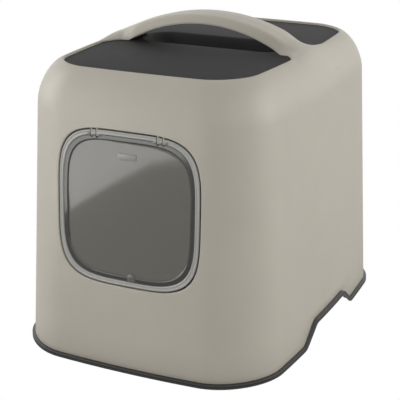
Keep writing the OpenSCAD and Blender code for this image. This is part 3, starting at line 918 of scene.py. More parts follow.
@dataclass
class Handle:
    """The arched handle and its feet, which flow out of the hood's shoulders."""

    crest_z: float = 429.7
    back: float = 6.5
    thick: float = 13.5
    top_w: float = 41.0
    width: float = 51.0
    arch_r: float = 265.0
    under_r: float = 222.0
    arch_half: float = 105.0
    wall: float = 3.0
    foot_w: float = 132.0
    corner_x: float = 18.0
    corner_y: float = 32.0
    flare: float = 3.0
    sink: float = 0.7
    foot_lead: float = 5.0
    foot_sink: float = 2.0
    hem: float = 1.1
    hem_steps: int = 3
    corner_n: float = 1.3
    hollow_gap: float = 1.2
    hollow_fade: float = 8.0
    skin: float = 0.02
    section_steps: int = 22
    section_stops: tuple[float, ...] = (0.0, 0.08, 0.42, 0.62, 1.0)
    bulge: float = 0.9
    station_steps: tuple[int, int, int] = (26, 22, 16)

    @property
    def rim_x(self) -> float:
        """Returns where the roof opening's long side stands."""
        return BODY.rim.side_x(0)

    @property
    def wall_x(self) -> float:
        """Returns where the hood's wall turns into its shoulder."""
        return BODY.wall_top.side_x(0)

    @property
    def end_x(self) -> float:
        """Returns where the foot has sunk into the shoulder."""
        return self.wall_x - self.foot_lead

    def line(self, x: float) -> float:
        """Returns the height of the handle's ridge out to the roof's edge."""
        arch = self.crest_z - self.arch_r
        if x <= self.arch_half:
            return arch + math.sqrt(self.arch_r ** 2 - x * x)
        side = math.sqrt(self.arch_r ** 2 - self.arch_half ** 2)
        return arch + side - self.arch_half / side * (x - self.arch_half)

    def ridge(self, x: float) -> float:
        """Returns the height of the ridge anywhere, as it sinks into the shoulder."""
        if x <= self.rim_x:
            return self.line(x)
        gap = self.line(self.rim_x) - BODY.roof_z
        t = (x - self.rim_x) / (self.end_x - self.rim_x)
        return BODY.shoulder(x, 0) + mix(gap, -self.sink, soft_step(t))

    def under(self, x: float) -> float:
        """Returns the height of the arch underneath."""
        rise = math.sqrt(max(0.0, self.under_r ** 2 - x * x))
        return self.crest_z - self.thick - self.under_r + rise

    def half(self, x: float) -> float:
        """Returns the half width of the handle's lower edges."""
        start = self.rim_x - self.corner_x
        c = min(1.0, max(0.0, (x - start) / self.corner_x))
        out = max(0.0, (x - self.rim_x) / (self.wall_x - self.rim_x))
        at_rim = self.width / 2 + self.flare + self.corner_y
        lead = self.arch_half - self.foot_lead
        widen = self.flare * soft_step((x - lead) / (start - lead))
        corner = self.corner_y * (1 - (1 - c ** self.corner_n) ** (1 / self.corner_n))
        return self.width / 2 + widen + corner + (self.foot_w / 2 - at_rim) * out

    def half_section(self, x: float) -> list[Point]:
        """Returns half of a section, from the lower edge over to the ridge.

        Args:
            x: Place along the handle, on the right side.

        Returns:
            Places from the lower edge to the ridge, with y measured from the handle's middle.
        """
        begin = self.arch_half - self.foot_lead
        foot = soft_step((x - begin) / (self.rim_x - begin))
        out = min(1.0, max(0.0, (x - begin) / (self.wall_x - begin)))
        half, top = self.half(x), self.ridge(x)
        low = BODY.shoulder(x, half) - self.foot_sink
        if x < self.rim_x:
            low = max(self.under(x), BODY.panel_z + BODY.seat_gap)
        rise = top - BODY.shoulder(x, 0)
        places = []
        for u in shares(self.section_steps):
            strap_y, strap_z = self.strap_point(u, half, low, top)
            foot_y = half * (1 - u)
            shift = out * (BODY.wall_top.side_x(0) - BODY.wall_top.side_x(foot_y))
            bump = (1 - (1 - u) ** 2) ** 2 if u > 0 else 0.0
            edge = self.hem * (1 - min(1.0, u * self.section_steps / self.hem_steps)) ** 2
            foot_z = BODY.shoulder(x - shift, foot_y) + rise * bump - edge
            places.append((x - shift * foot, mix(strap_y, foot_y, foot), mix(strap_z, foot_z, foot)))
        return [(places[0][0], places[0][1], low)] + places

    def strap_point(self, u: float, half: float, low: float, top: float) -> tuple[float, float]:
        """Returns a point of the plain strap's section.

        Args:
            u: Share of the way from the lower edge to the ridge.
            half: Half width at the lower edge.
            low: Height of the lower edge.
            top: Height of the ridge.

        Returns:
            The distance from the middle, and the height.
        """
        shoulder_y = self.top_w / 2
        corners = (
            (half - 0.2, low + 0.6), (half, low + 1.8),
            (shoulder_y + 2.4, top - 4.4), (shoulder_y - 2.6, top - 1.2), (0.0, top),
        )
        stops = self.section_stops
        k = next(k for k in range(len(stops) - 1) if u <= stops[k + 1])
        t = (u - stops[k]) / (stops[k + 1] - stops[k])
        bulge = self.bulge * math.sin(t * math.pi) if k == 2 else 0.0
        y, z = (mix(a, b, t) for a, b in zip(corners[k], corners[k + 1]))
        return y + bulge * 0.6, z + bulge

    def section(self, x: float) -> Ring:
        """Returns a whole section, with the hollow that the strap has underneath."""
        half = self.half_section(abs(x))
        edge_x, _, low = half[0]
        loop = half + [(px, -py, pz) for px, py, pz in reversed(half[:-1])]
        hollow_y = self.half(abs(x)) - self.wall - self.hollow_gap
        fade = soft_step((self.arch_half - abs(x)) / self.hollow_fade)
        roof = mix(low + self.skin, self.ridge(abs(x)) - self.wall - 1.0, fade)
        inner = [(-hollow_y, low), (-hollow_y + 0.6, mix(low, roof, 0.85)), (-hollow_y + 3, roof)]
        inner += [(-y, z) for y, z in reversed(inner)]
        loop += [(edge_x, y, z) for y, z in inner]
        return [(math.copysign(px, x), py + self.back, pz) for px, py, pz in loop]

    def stations(self) -> list[float]:
        """Returns the places along X where sections are taken, from left to right."""
        side = [0.0]
        stops = (0.0, self.arch_half, self.rim_x, self.end_x)
        for start, end, steps in zip(stops, stops[1:], self.station_steps):
            side += [mix(start, end, t) for t in shares(steps)[1:]]
        return [-x for x in reversed(side[1:])] + side

    def build(self, finishes: Finishes) -> bpy.types.Object:
        """Makes the handle."""
        shape = Mesh()
        shape.loft([self.section(x) for x in self.stations()])
        return shape.piece("handle", "hood", [finishes.hood])


@dataclass
class Hood:
    """The hood: leaning walls, rounded shoulder, roof opening, doorway and return."""

    return_depth: float = 27.0
    return_wall: float = 2.2
    relief: float = 24.0
    lip: float = 1.3
    nose: float = 1.5
    shoulder_steps: int = 30
    frame_arc: float = math.radians(20.0)
    frame_low: float = 100.0
    frame_high: float = 331.0
    frame_rows: int = 36
    frame_shares: tuple[float, ...] = (0.78, 0.56, 0.36, 0.2, 0.08)
    inner_shares: tuple[float, ...] = (0.15, 0.45, 0.75)
    front_y: float = -150.0
    skin_reach: float = 1.2
    side_rows: tuple[float, ...] = (45.0, 72.0)
    hem: float = 0.6
    slot_front: float = 4.8
    slot_back: float = 8.5
    slot_half_h: float = 10.0
    ear_r: float = 3.0
    ear_t: float = 1.8
    ear_root: float = 12.0
    ear_brace: float = 8.0
    ear_neck: float = 2.0
    ear_edge: float = 0.25
    clip_w: float = 12.0
    clip_gap: float = 0.4
    clip_t: float = 1.8
    clip_hook: float = 1.8
    clip_drop: float = 5.0
    hook_h: float = 3.0
    clip_edge: float = 0.2
    panel_lap: float = 3.6

    def shoulder_rings(self, d: float) -> list[Ring]:
        """Returns the rings of the shoulder at a depth below the surface."""
        made = []
        for angle in quarter(self.shoulder_steps):
            inward = 1 - max(0.0, math.cos(angle)) ** (2 / BODY.shoulder_n)
            up = math.sin(angle) ** (2 / BODY.shoulder_n)
            outline = BODY.wall_top.mixed(BODY.rim, inward).inset(d)
            made.append(BODY.round(outline, BODY.wall_top_z - d + BODY.shoulder_h * up))
        return made

    def foot_ring(self, d: float, lift: float) -> Ring:
        """Returns the hood's lower edge, which runs up over the hand grips."""
        outline = BODY.wall_at(BODY.flange_h, d)
        made = []
        for x, y, _ in BODY.round(outline, 0.0):
            z = GRIPS.line(y, BODY.flange_h + BODY.seat_gap) + lift
            pull = (z - BODY.flange_h) * BODY.lean
            made.append((x - pull * x / outline.half_w, y - pull * y / outline.half_d, z))
        return made

    def level(self, z: float, d: float) -> Ring:
        """Returns a level ring of the wall."""
        return BODY.round(BODY.wall_at(z, d), z)

    def rings(self) -> list[Ring]:
        """Returns the closed run of rings, up the outside and down the inside."""
        heights = list(self.side_rows)
        heights += [mix(self.frame_low, self.frame_high, t) for t in shares(self.frame_rows)]
        edge, rim = self.hem, BODY.rim
        made = [self.foot_ring(edge, 0.0), self.foot_ring(edge * 0.3, edge * 0.3), self.foot_ring(0.0, edge)]
        made += [self.level(z, 0.0) for z in heights]
        made += self.shoulder_rings(0.0)[:-1]
        made += [
            BODY.round(rim.inset(-self.lip * (1 - math.sin(a))), BODY.roof_z - self.lip * (1 - math.cos(a)))
            for a in quarter(5)
        ]
        made.append(BODY.round(rim, BODY.roof_z - BODY.wall))
        made += self.shoulder_rings(BODY.wall)[-3::-1]
        made += [self.level(z, BODY.wall) for z in reversed(heights)]
        made += [self.foot_ring(BODY.wall, edge), self.foot_ring(BODY.wall - edge, 0.0)]
        return made

    def in_frame(self, face: bmesh.types.BMFace, d: float) -> bool:
        """Returns whether a face lies in the frame around the doorway.

        Args:
            face: A face of the shell.
            d: Depth of the skin that is asked for.

        Returns:
            True where the face belongs to that skin and to the frame.
        """
        x, y, z = face.calc_center_median()
        if y > self.front_y or not self.frame_low < z < self.frame_high:
            return False
        outline = BODY.wall_at(z, d)
        reach = outline.half_w - outline.corner * (1 - math.sin(self.frame_arc))
        return abs(x) < reach and abs(y - outline.front_y(x)) < self.skin_reach

    def open_frame(self, shape: Mesh, d: float) -> list[bmesh.types.BMVert]:
        """Opens one skin around the doorway and returns the border.

        Args:
            shape: The hood's mesh.
            d: Depth of the skin that is opened.

        Returns:
            The border's vertices in order from the right middle, upwards first.
        """
        faces = [face for face in shape.bm.faces if self.in_frame(face, d)]
        chosen = set(faces)
        border = {edge for face in faces for edge in face.edges if not chosen.issuperset(edge.link_faces)}
        bmesh.ops.delete(shape.bm, geom=faces, context="FACES")
        corners = {vert for edge in border for vert in edge.verts}
        middle = DOOR.mid * math.cos(BODY.draft)
        loop = [min(corners, key=lambda v: (v.co.x < 0, abs(v.co.z - middle)))]
        while len(loop) < len(corners):
            near = [edge.other_vert(loop[-1]) for edge in loop[-1].link_edges if edge in border]
            fresh = [vert for vert in near if vert not in loop[-2:]]
            loop.append(max(fresh, key=lambda v: v.co.z) if len(loop) == 1 else fresh[0])
        return loop

    def door_spots(self, border: Ring, grow: float) -> list[tuple[float, float]]:
        """Returns the doorway's outline in the directions of the border's places.

        Args:
            border: The opened frame's border.
            grow: How far the doorway's outline is grown.

        Returns:
            A place (x, up) for each of the border's.
        """
        made = []
        for x, _, z in border:
            up = z / math.cos(BODY.draft) - DOOR.mid
            across, rise = abs(x) / (DOOR.half_w + grow), abs(up) / (DOOR.half_h + grow)
            reach = (across ** DOOR.squareness + rise ** DOOR.squareness) ** (-1 / DOOR.squareness)
            made.append((x * reach, DOOR.mid + up * reach))
        return made

    def wall_ring(self, border: Ring, d: float, grow: float, share: float) -> Ring:
        """Returns a ring of the wall, a share of the way from the doorway to the border."""
        made = []
        for (x, up), (far_x, _, far_z) in zip(self.door_spots(border, grow), border):
            far_up = far_z / math.cos(BODY.draft)
            made.append(BODY.on_front(mix(x, far_x, share), mix(up, far_up, share), d))
        return made

    def deep_ring(self, border: Ring, grow: float, trim: float) -> Ring:
        """Returns a ring at the rear of the return, which is cut back towards the top."""
        made = []
        shallow = BODY.wall + 1.0
        for x, up in self.door_spots(border, grow):
            depth = shallow + max(0.0, DOOR.top - self.relief - up) / 1.5
            place = BODY.in_wall(x, min(self.return_depth, depth) - trim, up)
            skin = BODY.on_front(x, up, BODY.wall)
            made.append((x, max(place[1], skin[1] + 0.6 - trim), place[2]))
        return made

    def fit_doorway(self, shape: Mesh) -> None:
        """Closes both opened skins on the doorway with one run round its nose and return."""
        outer = self.open_frame(shape, 0.0)
        inner = self.open_frame(shape, BODY.wall)
        border = [tuple(vert.co) for vert in outer]
        far = [tuple(vert.co) for vert in inner]
        r, thick = self.nose, self.return_wall
        rings = [self.wall_ring(border, 0.0, r, share) for share in self.frame_shares]
        rings += [
            self.wall_ring(border, r * (1 - math.cos(a)), r * (1 - math.sin(a)), 0.0) for a in quarter(6)
        ]
        rings += [self.wall_ring(border, BODY.wall, 0.0, 0.0), self.deep_ring(border, 0.0, 0.5)]
        rings += [self.deep_ring(border, 0.3, 0.0), self.deep_ring(border, thick - 0.3, 0.0)]
        rings += [self.deep_ring(border, thick, 0.4), self.wall_ring(border, BODY.wall, thick, 0.0)]
        rings += [self.wall_ring(border, BODY.wall, thick, share) for share in self.inner_shares]
        rings.append(far)
        last = outer
        for places in rings:
            last = shape.grow(last, places)
        bmesh.ops.remove_doubles(shape.bm, verts=last + inner, dist=1e-3)

    def build(self, finishes: Finishes) -> list[bpy.types.Object]:
        """Makes the hood's shell with its doorway, the hinge ears and the panel's clips."""
        shape = Mesh()
        shape.loft(self.rings(), closed=True)
        self.fit_doorway(shape)
        shell = shape.piece("hood_shell", "hood", [finishes.hood], ["hood"])
        cut(shell, [self.catch_slot()])
        return [shell, self.ears(finishes), self.clips(finishes)]

    def catch_slot(self) -> bpy.types.Object:
        """Returns the cutter of the slot behind the sill that the catch's lever turns into."""
        slot = Mesh()
        left, right = DOOR.catch_x - DOOR.lever_reach, DOOR.catch_x + DOOR.lever_reach
        slot.block(
            BODY.in_wall(left, self.slot_front, DOOR.foot - self.slot_half_h),
            BODY.in_wall(right, self.slot_back, DOOR.foot + self.slot_half_h),
        )
        return slot.cutter()

    def ears(self, finishes: Finishes) -> bpy.types.Object:
        """Makes the four hinge ears that carry the flap's pins."""
        shape = Mesh()
        r, rise = self.ear_r, DOOR.top - DOOR.hinge_up + self.ear_root
        profile = half_round(r, 14) + [
            (r, rise - self.ear_brace), (r - self.ear_neck, rise - self.ear_brace / 2),
            (1 - DOOR.hinge_back, rise), (-r, rise - 1),
        ]
        for ear in DOOR.ears:
            left = ear - self.ear_t / 2
            corners = [BODY.in_wall(left, DOOR.hinge_in + back, DOOR.hinge_up + up) for back, up in profile]
            shape.plate(corners, (self.ear_t, 0, 0), self.ear_edge)
        return shape.piece("hinge_ears", "hood", [finishes.hood])

    def clips(self, finishes: Finishes) -> bpy.types.Object:
        """Makes the eight clips that hold the panel from below."""
        shape = Mesh()
        rim, edge = BODY.rim, BODY.rim.inset(-self.panel_lap)
        near, far, half = self.clip_gap, self.clip_gap + self.clip_t, self.clip_w / 2
        foot = BODY.panel_z - self.clip_drop
        tip = foot - self.hook_h
        profile = [
            (near, BODY.roof_z - 3.0), (near, foot), (near - self.clip_hook, foot),
            (near, tip), (far, tip), (far, BODY.roof_z - 5.5),
        ]
        for side in (-1, 1):
            for x in (-rim.half_w / 2, rim.half_w / 2):
                y = edge.half_d + edge.end_swell * (1 - (x / edge.half_w) ** 2)
                corners = [(x - half, side * (y + out), z) for out, z in profile]
                shape.plate(corners, (self.clip_w, 0, 0), self.clip_edge)
            for y in (-rim.half_d / 2, rim.half_d / 2):
                corners = [(side * (edge.side_x(y) + out), y - half, z) for out, z in profile]
                shape.plate(corners, (0, self.clip_w, 0), self.clip_edge)
        return shape.piece("panel_clips", "hood", [finishes.hood])


@dataclass
class TopPanel:
    """The dark panel in the roof opening, with its finger trough and vents."""

    thick: float = 2.4
    gap: float = 0.4
    lap: float = 3.6
    depth: float = 24.0
    length: float = 224.0
    width: float = 78.0
    back: float = 26.0
    slope: float = 24.0
    trough_r_loss: float = 4.0
    slot_w: float = 3.2
    slot_pitch: float = 6.4
    slot_margin: float = 20.0
    slot_end: float = 3.0
    slot_r: float = 1.0
    seat_half_l: float = 91.0
    seat_half_w: float = 35.0
    stop_half: float = 15.0
    stop_drop: float = 7.7
    stop_t: float = 1.6
    lug_x: float = 62.0
    lug_apart: float = 4.8
    lug_t: float = 3.0
    lug_r: float = 4.0
    lug_rise: float = 5.0
    swing_out: float = 1.5
    swing_drop: float = 5.7

    @property
    def floor(self) -> float:
        """Returns the height of the trough's floor."""
        return BODY.panel_z - self.depth

    def trough_ring(self, inset: float, z: float) -> Ring:
        """Returns a ring of the trough at an inset."""
        half = self.width / 2 - inset
        corner = max(Outline.least_corner, half - self.trough_r_loss)
        outline = Outline(self.length / 2 - inset, half, corner, 0.0, 0.0)
        flat = outline.points(BODY.arc_steps, BODY.wide_steps, BODY.deep_steps)
        return [(x, y + self.back, z) for x, y in flat]

    def rings(self) -> list[Ring]:
        """Returns the rings from the trough's floor out to the edge and back below."""
        z, low = BODY.panel_z, self.thick
        made = [self.trough_ring(self.slope + 10, self.floor)]
        made += [
            self.trough_ring(self.slope * t, z - self.depth * soft_step(t)) for t in reversed(shares(18))
        ]
        rim, tongue = BODY.rim.inset(self.gap), BODY.rim.inset(-self.lap)
        made += [BODY.round(rim.inset(0.6), z), BODY.round(rim.inset(0.15), z - 0.15)]
        made += [BODY.round(rim, z - 0.6), BODY.round(rim, z - low)]
        made += [BODY.round(tongue, z - low), BODY.round(tongue, z - 2 * low)]
        made.append(self.trough_ring(-low, z - 2 * low))
        made += [
            self.trough_ring(self.slope * t - low, z - 2 * low - self.depth * soft_step(t))
            for t in shares(14)[3:]
        ]
        made.append(self.trough_ring(self.slope + 8, self.floor - low))
        return made

    def add_seat(self, shape: Mesh) -> None:
        """Adds the filter's seat, its stop and its hinge lugs."""
        floor = self.floor
        front, rear = self.back - self.seat_half_w, self.back + self.seat_half_w
        length, half = self.seat_half_l, self.stop_half
        shape.block((-length, front, floor - self.thick), (length, rear, floor - 0.4), 0.6)
        shape.block((-half, front, floor - self.stop_drop), (half, front + self.stop_t, floor - 1), 0.5)
        r, y, z = self.lug_r, rear + self.swing_out, floor - self.swing_drop
        profile = half_round(r, 12) + [(r, r / 2), (-r / 4, self.lug_rise), (-r, self.lug_rise)]
        for middle in (-self.lug_x, self.lug_x):
            for side in (-self.lug_apart, self.lug_apart):
                left = middle + side - self.lug_t / 2
                shape.plate([(left, y + back, z + up) for back, up in profile], (self.lug_t, 0, 0), 0.3)

    def vents(self) -> list[bpy.types.Object]:
        """Returns the cutters of the vent slots in the trough's floor."""
        span = self.length - 2 * self.slope - 2 * self.slot_margin - self.slot_w
        count = int(span // self.slot_pitch)
        half_w, half_l = self.slot_w / 2, self.width / 2 - self.slope - self.slot_end
        made = []
        for k in range(count + 1):
            x = (k - count / 2) * self.slot_pitch
            slot = Mesh()
            low = (x - half_w, self.back - half_l, self.floor - 9)
            high = (x + half_w, self.back + half_l, self.floor + 6)
            slot.block(low, high, self.slot_r, 3)
            made.append(slot.cutter())
        return made

    def build(self, finishes: Finishes) -> bpy.types.Object:
        """Makes the panel, its vents, the filter's seat and its hinge lugs."""
        shape = Mesh()
        shape.loft(self.rings())
        self.add_seat(shape)
        panel = shape.piece("roof_panel", "hood", [finishes.panel], ["top_panel"])
        cut(panel, self.vents())
        return panel


@dataclass
class Flap:
    """The smoked swing flap, with its raised ring, dished middle and knuckles."""

    ring_w: float = 6.0
    ring_t: float = 4.2
    ring_front: float = 0.4
    ring_r: float = 1.0
    valley: float = 0.55
    pane_front: float = 1.6
    pane_t: float = 1.8
    band_w: float = 7.0
    dish: float = 1.2
    dish_edge: float = 1.5
    spread: tuple[float, ...] = (0.06, 0.2, 0.35, 0.5, 0.62, 0.74, 0.84, 0.92, 0.985, 1.0)
    slot_half: float = 1.3
    slot_below: float = 4.5
    knuckle_step: float = 7.8
    knuckle_half: float = 2.6
    knuckle_r: float = 3.6
    web_half: float = 2.55
    pin_half: float = 9.8
    pin_r: float = 2.0
    boss_r: float = 6.2
    boss_front: float = 1.55
    boss_back: float = 5.2
    plate_half: float = 13.0
    plate_foot: float = 283.4
    plate_top: float = 292.0
    plate_rise: float = 0.4

    @property
    def low(self) -> float:
        """Returns the depth of the dished middle."""
        return self.pane_front + self.dish

    def ring_at(self, inset: float, d: float) -> Ring:
        """Returns a ring of the flap at an inset and a depth."""
        return [BODY.on_front(x, up, d) for x, up in DOOR.outline(-DOOR.gap - inset)]

    def middle_at(self, share: float, d: float) -> Ring:
        """Returns a ring of the dished middle, drawn towards its centre."""
        inset = DOOR.gap + self.ring_w + self.band_w + self.dish_edge
        places = DOOR.scaled((DOOR.half_w - inset) * share, (DOOR.half_h - inset) * share)
        return [BODY.on_front(x, up, d) for x, up in places]

    def profile(self) -> list[tuple[float, float]]:
        """Returns the section outside the dish as insets and depths, from the front round to the rear."""
        front, step, low = self.ring_front, self.pane_front, self.low
        w, band = self.ring_w, self.ring_w + self.band_w
        inner = step - 0.15
        rise = inner - front - 0.1
        step_in = [
            (band, low - 0.1), (band - 0.4, low - 0.45), (band - 1.0, step + 0.25), (band - 1.6, step),
            (band - 2.0, step), (w + 0.9, step), (w + 0.5, step), (w + 0.12, step - 0.12),
        ]
        climb = [(w - 0.9 * t, inner - rise * math.sin(t * math.pi / 2)) for t in shares(4)]
        crown = [
            (w - 1.3, front), (w - 1.9, front + 0.2), (w - 2.6, front + self.valley),
            (w - 3.4, front + self.valley), (1.9, front + 0.2), (1.4, front),
        ]
        r = self.ring_r
        outer = [(r * (1 - math.sin(a)), front + r * (1 - math.cos(a))) for a in quarter(4)]
        back, rear = front + self.ring_t, step + self.pane_t
        behind = [
            (0.0, back - 0.8), (0.25, back - 0.25), (0.8, back), (w - 0.8, back), (w - 0.2, back - 0.25),
            (w, back - 0.8), (w + 0.2, rear), (band - 1.8, rear), (band - 0.6, low + self.pane_t),
        ]
        return step_in + climb + crown + outer + behind

    def rings(self) -> list[Ring]:
        """Returns the rings from the front's centre over the ring to the rear's centre."""
        front = [self.middle_at(share, self.low) for share in self.spread]
        rear = [self.middle_at(share, self.low + self.pane_t) for share in reversed(self.spread)]
        return front + [self.ring_at(inset, d) for inset, d in self.profile()] + rear

    def zone(self, middle: Vector) -> int:
        """Returns 1 on the frosted ring, 2 on the band inside it, which is darkened with painted shade, and 0
        on the pane.
        """
        up = middle.z / math.cos(BODY.draft) - DOOR.mid
        n = DOOR.squareness
        for index, width in ((1, 0.1), (2, self.band_w)):
            inset = DOOR.gap + self.ring_w + width
            if (abs(middle.x) / (DOOR.half_w - inset)) ** n + (abs(up) / (DOOR.half_h - inset)) ** n > 1:
                return index
        return 0

    def ear_slot(self, x: float) -> bpy.types.Object:
        """Returns the cutter of the slot that a hinge ear stands in."""
        slot = Mesh()
        slot.block(
            BODY.in_wall(x - self.slot_half, -12, DOOR.hinge_up - self.slot_below),
            BODY.in_wall(x + self.slot_half, 20, DOOR.hinge_up + 30),
        )
        return slot.cutter()

    def build(self, finishes: Finishes) -> list[bpy.types.Object]:
        """Makes the flap and puts it in place of its CAD node."""
        shape = Mesh()
        shape.loft(self.rings())
        # The third look darkens the band inside the ring with painted shade.
        looks = [finishes.pane, finishes.ring, finishes.band]
        pane = shape.piece("flap_pane", "flap", looks, ["flap"], self.zone)
        cut(pane, [self.ear_slot(x) for x in DOOR.ears])
        return [pane, self.knuckles(finishes), self.plate(finishes)]

    def plate(self, finishes: Finishes) -> bpy.types.Object:
        """Makes the small bare plate raised on the pane."""
        shape = Mesh()
        shape.block(
            BODY.in_wall(-self.plate_half, self.low - self.plate_rise, self.plate_foot),
            BODY.in_wall(self.plate_half, self.low + 0.6, self.plate_top), 0.25,
        )
        return shape.piece("flap_plate", "flap", [finishes.plate])

    def knuckles(self, finishes: Finishes) -> bpy.types.Object:
        """Makes the knuckles and pins of both hinges, and the catch's boss."""
        shape = Mesh()
        deep, up = DOOR.hinge_in, DOOR.hinge_up
        for hinge in (-DOOR.hinge_x, DOOR.hinge_x):
            for step in (-self.knuckle_step, 0.0, self.knuckle_step):
                left, right = hinge + step - self.knuckle_half, hinge + step + self.knuckle_half
                shape.rod(BODY.in_wall(left, deep, up), BODY.in_wall(right, deep, up), self.knuckle_r)
                left, right = hinge + step - self.web_half, hinge + step + self.web_half
                low, high = BODY.in_wall(left, deep - 3.0, up - 0.5), BODY.in_wall(right, deep + 1.1, up + 4.6)
                shape.block(low, high, 0.4)
            left, right = hinge - self.pin_half, hinge + self.pin_half
            shape.rod(BODY.in_wall(left, deep, up), BODY.in_wall(right, deep, up), self.pin_r)
        x, z = DOOR.catch_x, DOOR.catch_up
        shape.rod(BODY.in_wall(x, self.boss_front, z), BODY.in_wall(x, self.boss_back, z), self.boss_r)
        return shape.piece("flap_knuckles", "flap", [finishes.pane])


@dataclass
class Catch:
    """The turn catch: a round button in front and a lever behind the flap."""

    front: float = 0.4
    button_t: float = 1.0
    button_r: float = 4.8
    stem_r: float = 2.0
    lever_front: float = 5.4
    lever_w: float = 5.0
    lever_t: float = 2.5
    grip_half_w: float = 0.7
    grip_half_h: float = 3.4
    grip_rise: float = 0.55

    def build(self, finishes: Finishes) -> bpy.types.Object:
        """Makes the catch and puts it in place of its CAD node."""
        shape = Mesh()
        x, up, half = DOOR.catch_x, DOOR.catch_up, self.lever_w / 2
        front, far, back = self.front, self.lever_front, self.lever_front + self.lever_t
        shape.rod(BODY.in_wall(x, front, up), BODY.in_wall(x, front + self.button_t, up), self.button_r, 48)
        shape.rod(BODY.in_wall(x, front + 0.3, up), BODY.in_wall(x, back, up), self.stem_r)
        shape.rod(BODY.in_wall(x, far, up), BODY.in_wall(x, back, up), half)
        shape.block(BODY.in_wall(x, far, up - half), BODY.in_wall(x + DOOR.lever_reach, back, up + half), 0.5)
        shape.block(
            BODY.in_wall(x - self.grip_half_w, front - self.grip_rise, up - self.grip_half_h),
            BODY.in_wall(x + self.grip_half_w, front + 0.4, up + self.grip_half_h), 0.3,
        )
        return shape.piece("catch_button", "catch", [finishes.pane], ["flap_catch"])


@dataclass
class Filter:
    """The charcoal pad that lies in the hinged basket."""

    length: float = 166.4
    width: float = 56.4
    thick: float = 8.0
    floor_z: float = 348.7
    back: float = 26.0

    def pad_ring(self, inset: float, z: float) -> Ring:
        """Returns a ring of the pad's outline."""
        outline = Outline(self.length / 2 - inset, self.width / 2 - inset, 5.0, 0.0, 0.0)
        return [(x, y + self.back, z) for x, y in outline.points(8, 24, 12)]

    def build(self, finishes: Finishes) -> bpy.types.Object:
        """Makes the pad, crowned and soft at its edges."""
        shape = Mesh()
        low, high = self.floor_z, self.floor_z + self.thick
        profile = (
            (24, low), (12, low), (2.5, low), (0.8, low + 0.8), (0.0, low + 2.4), (0.1, high - 3.2),
            (0.9, high - 1.6), (3.0, high - 0.7), (8, high - 0.2), (16, high), (24, high),
        )
        shape.loft([self.pad_ring(inset, z) for inset, z in profile])
        pad = shape.piece("charcoal_filter", "filter", [finishes.felt], ["charcoal_pad"])
        return pad


@dataclass(frozen=True)
class SoftBox:
    """A soft box, in metres and watts."""

    name: str
    place: Point
    target: Point
    width: float
    height: float
    power: float

    def build(self) -> None:
        """Hangs the lamp in the room."""
        data = bpy.data.lights.new(self.name, "AREA")
        data.shape = "RECTANGLE"
        data.size, data.size_y = self.width, self.height
        data.energy = self.power
        made = bpy.data.objects.new(self.name, data)
        made.location = self.place
        made.rotation_euler = (Vector(self.target) - Vector(self.place)).to_track_quat("-Z", "Y").to_euler()
        bpy.context.scene.collection.objects.link(made)


SOFT_BOXES = (
    SoftBox("right_rear_box", (1.7, 0.6, 0.8), (0, 0.05, 0.2), 1.2, 1.4, 14.5),
    SoftBox("right_front_box", (1.5, -1.2, 0.9), (0, 0, 0.2), 1.0, 1.2, 3.2),
    SoftBox("left_box", (-1.8, -0.4, 0.9), (0, 0, 0.2), 1.0, 1.4, 14.5),
    SoftBox("left_front_box", (-1.3, -1.7, 0.8), (0, 0, 0.2), 1.0, 1.2, 7.3),
    SoftBox("cabin_glow", (0.0, -0.12, 0.3), (0, 0.2, 0.15), 0.16, 0.06, 0.08),
)


class Ray(Enum):
    """The kinds of ray that see the set as something other than its light."""

    GLOSSY = "Is Glossy Ray"
    TRANSMISSION = "Is Transmission Ray"
    CAMERA = "Is Camera Ray"


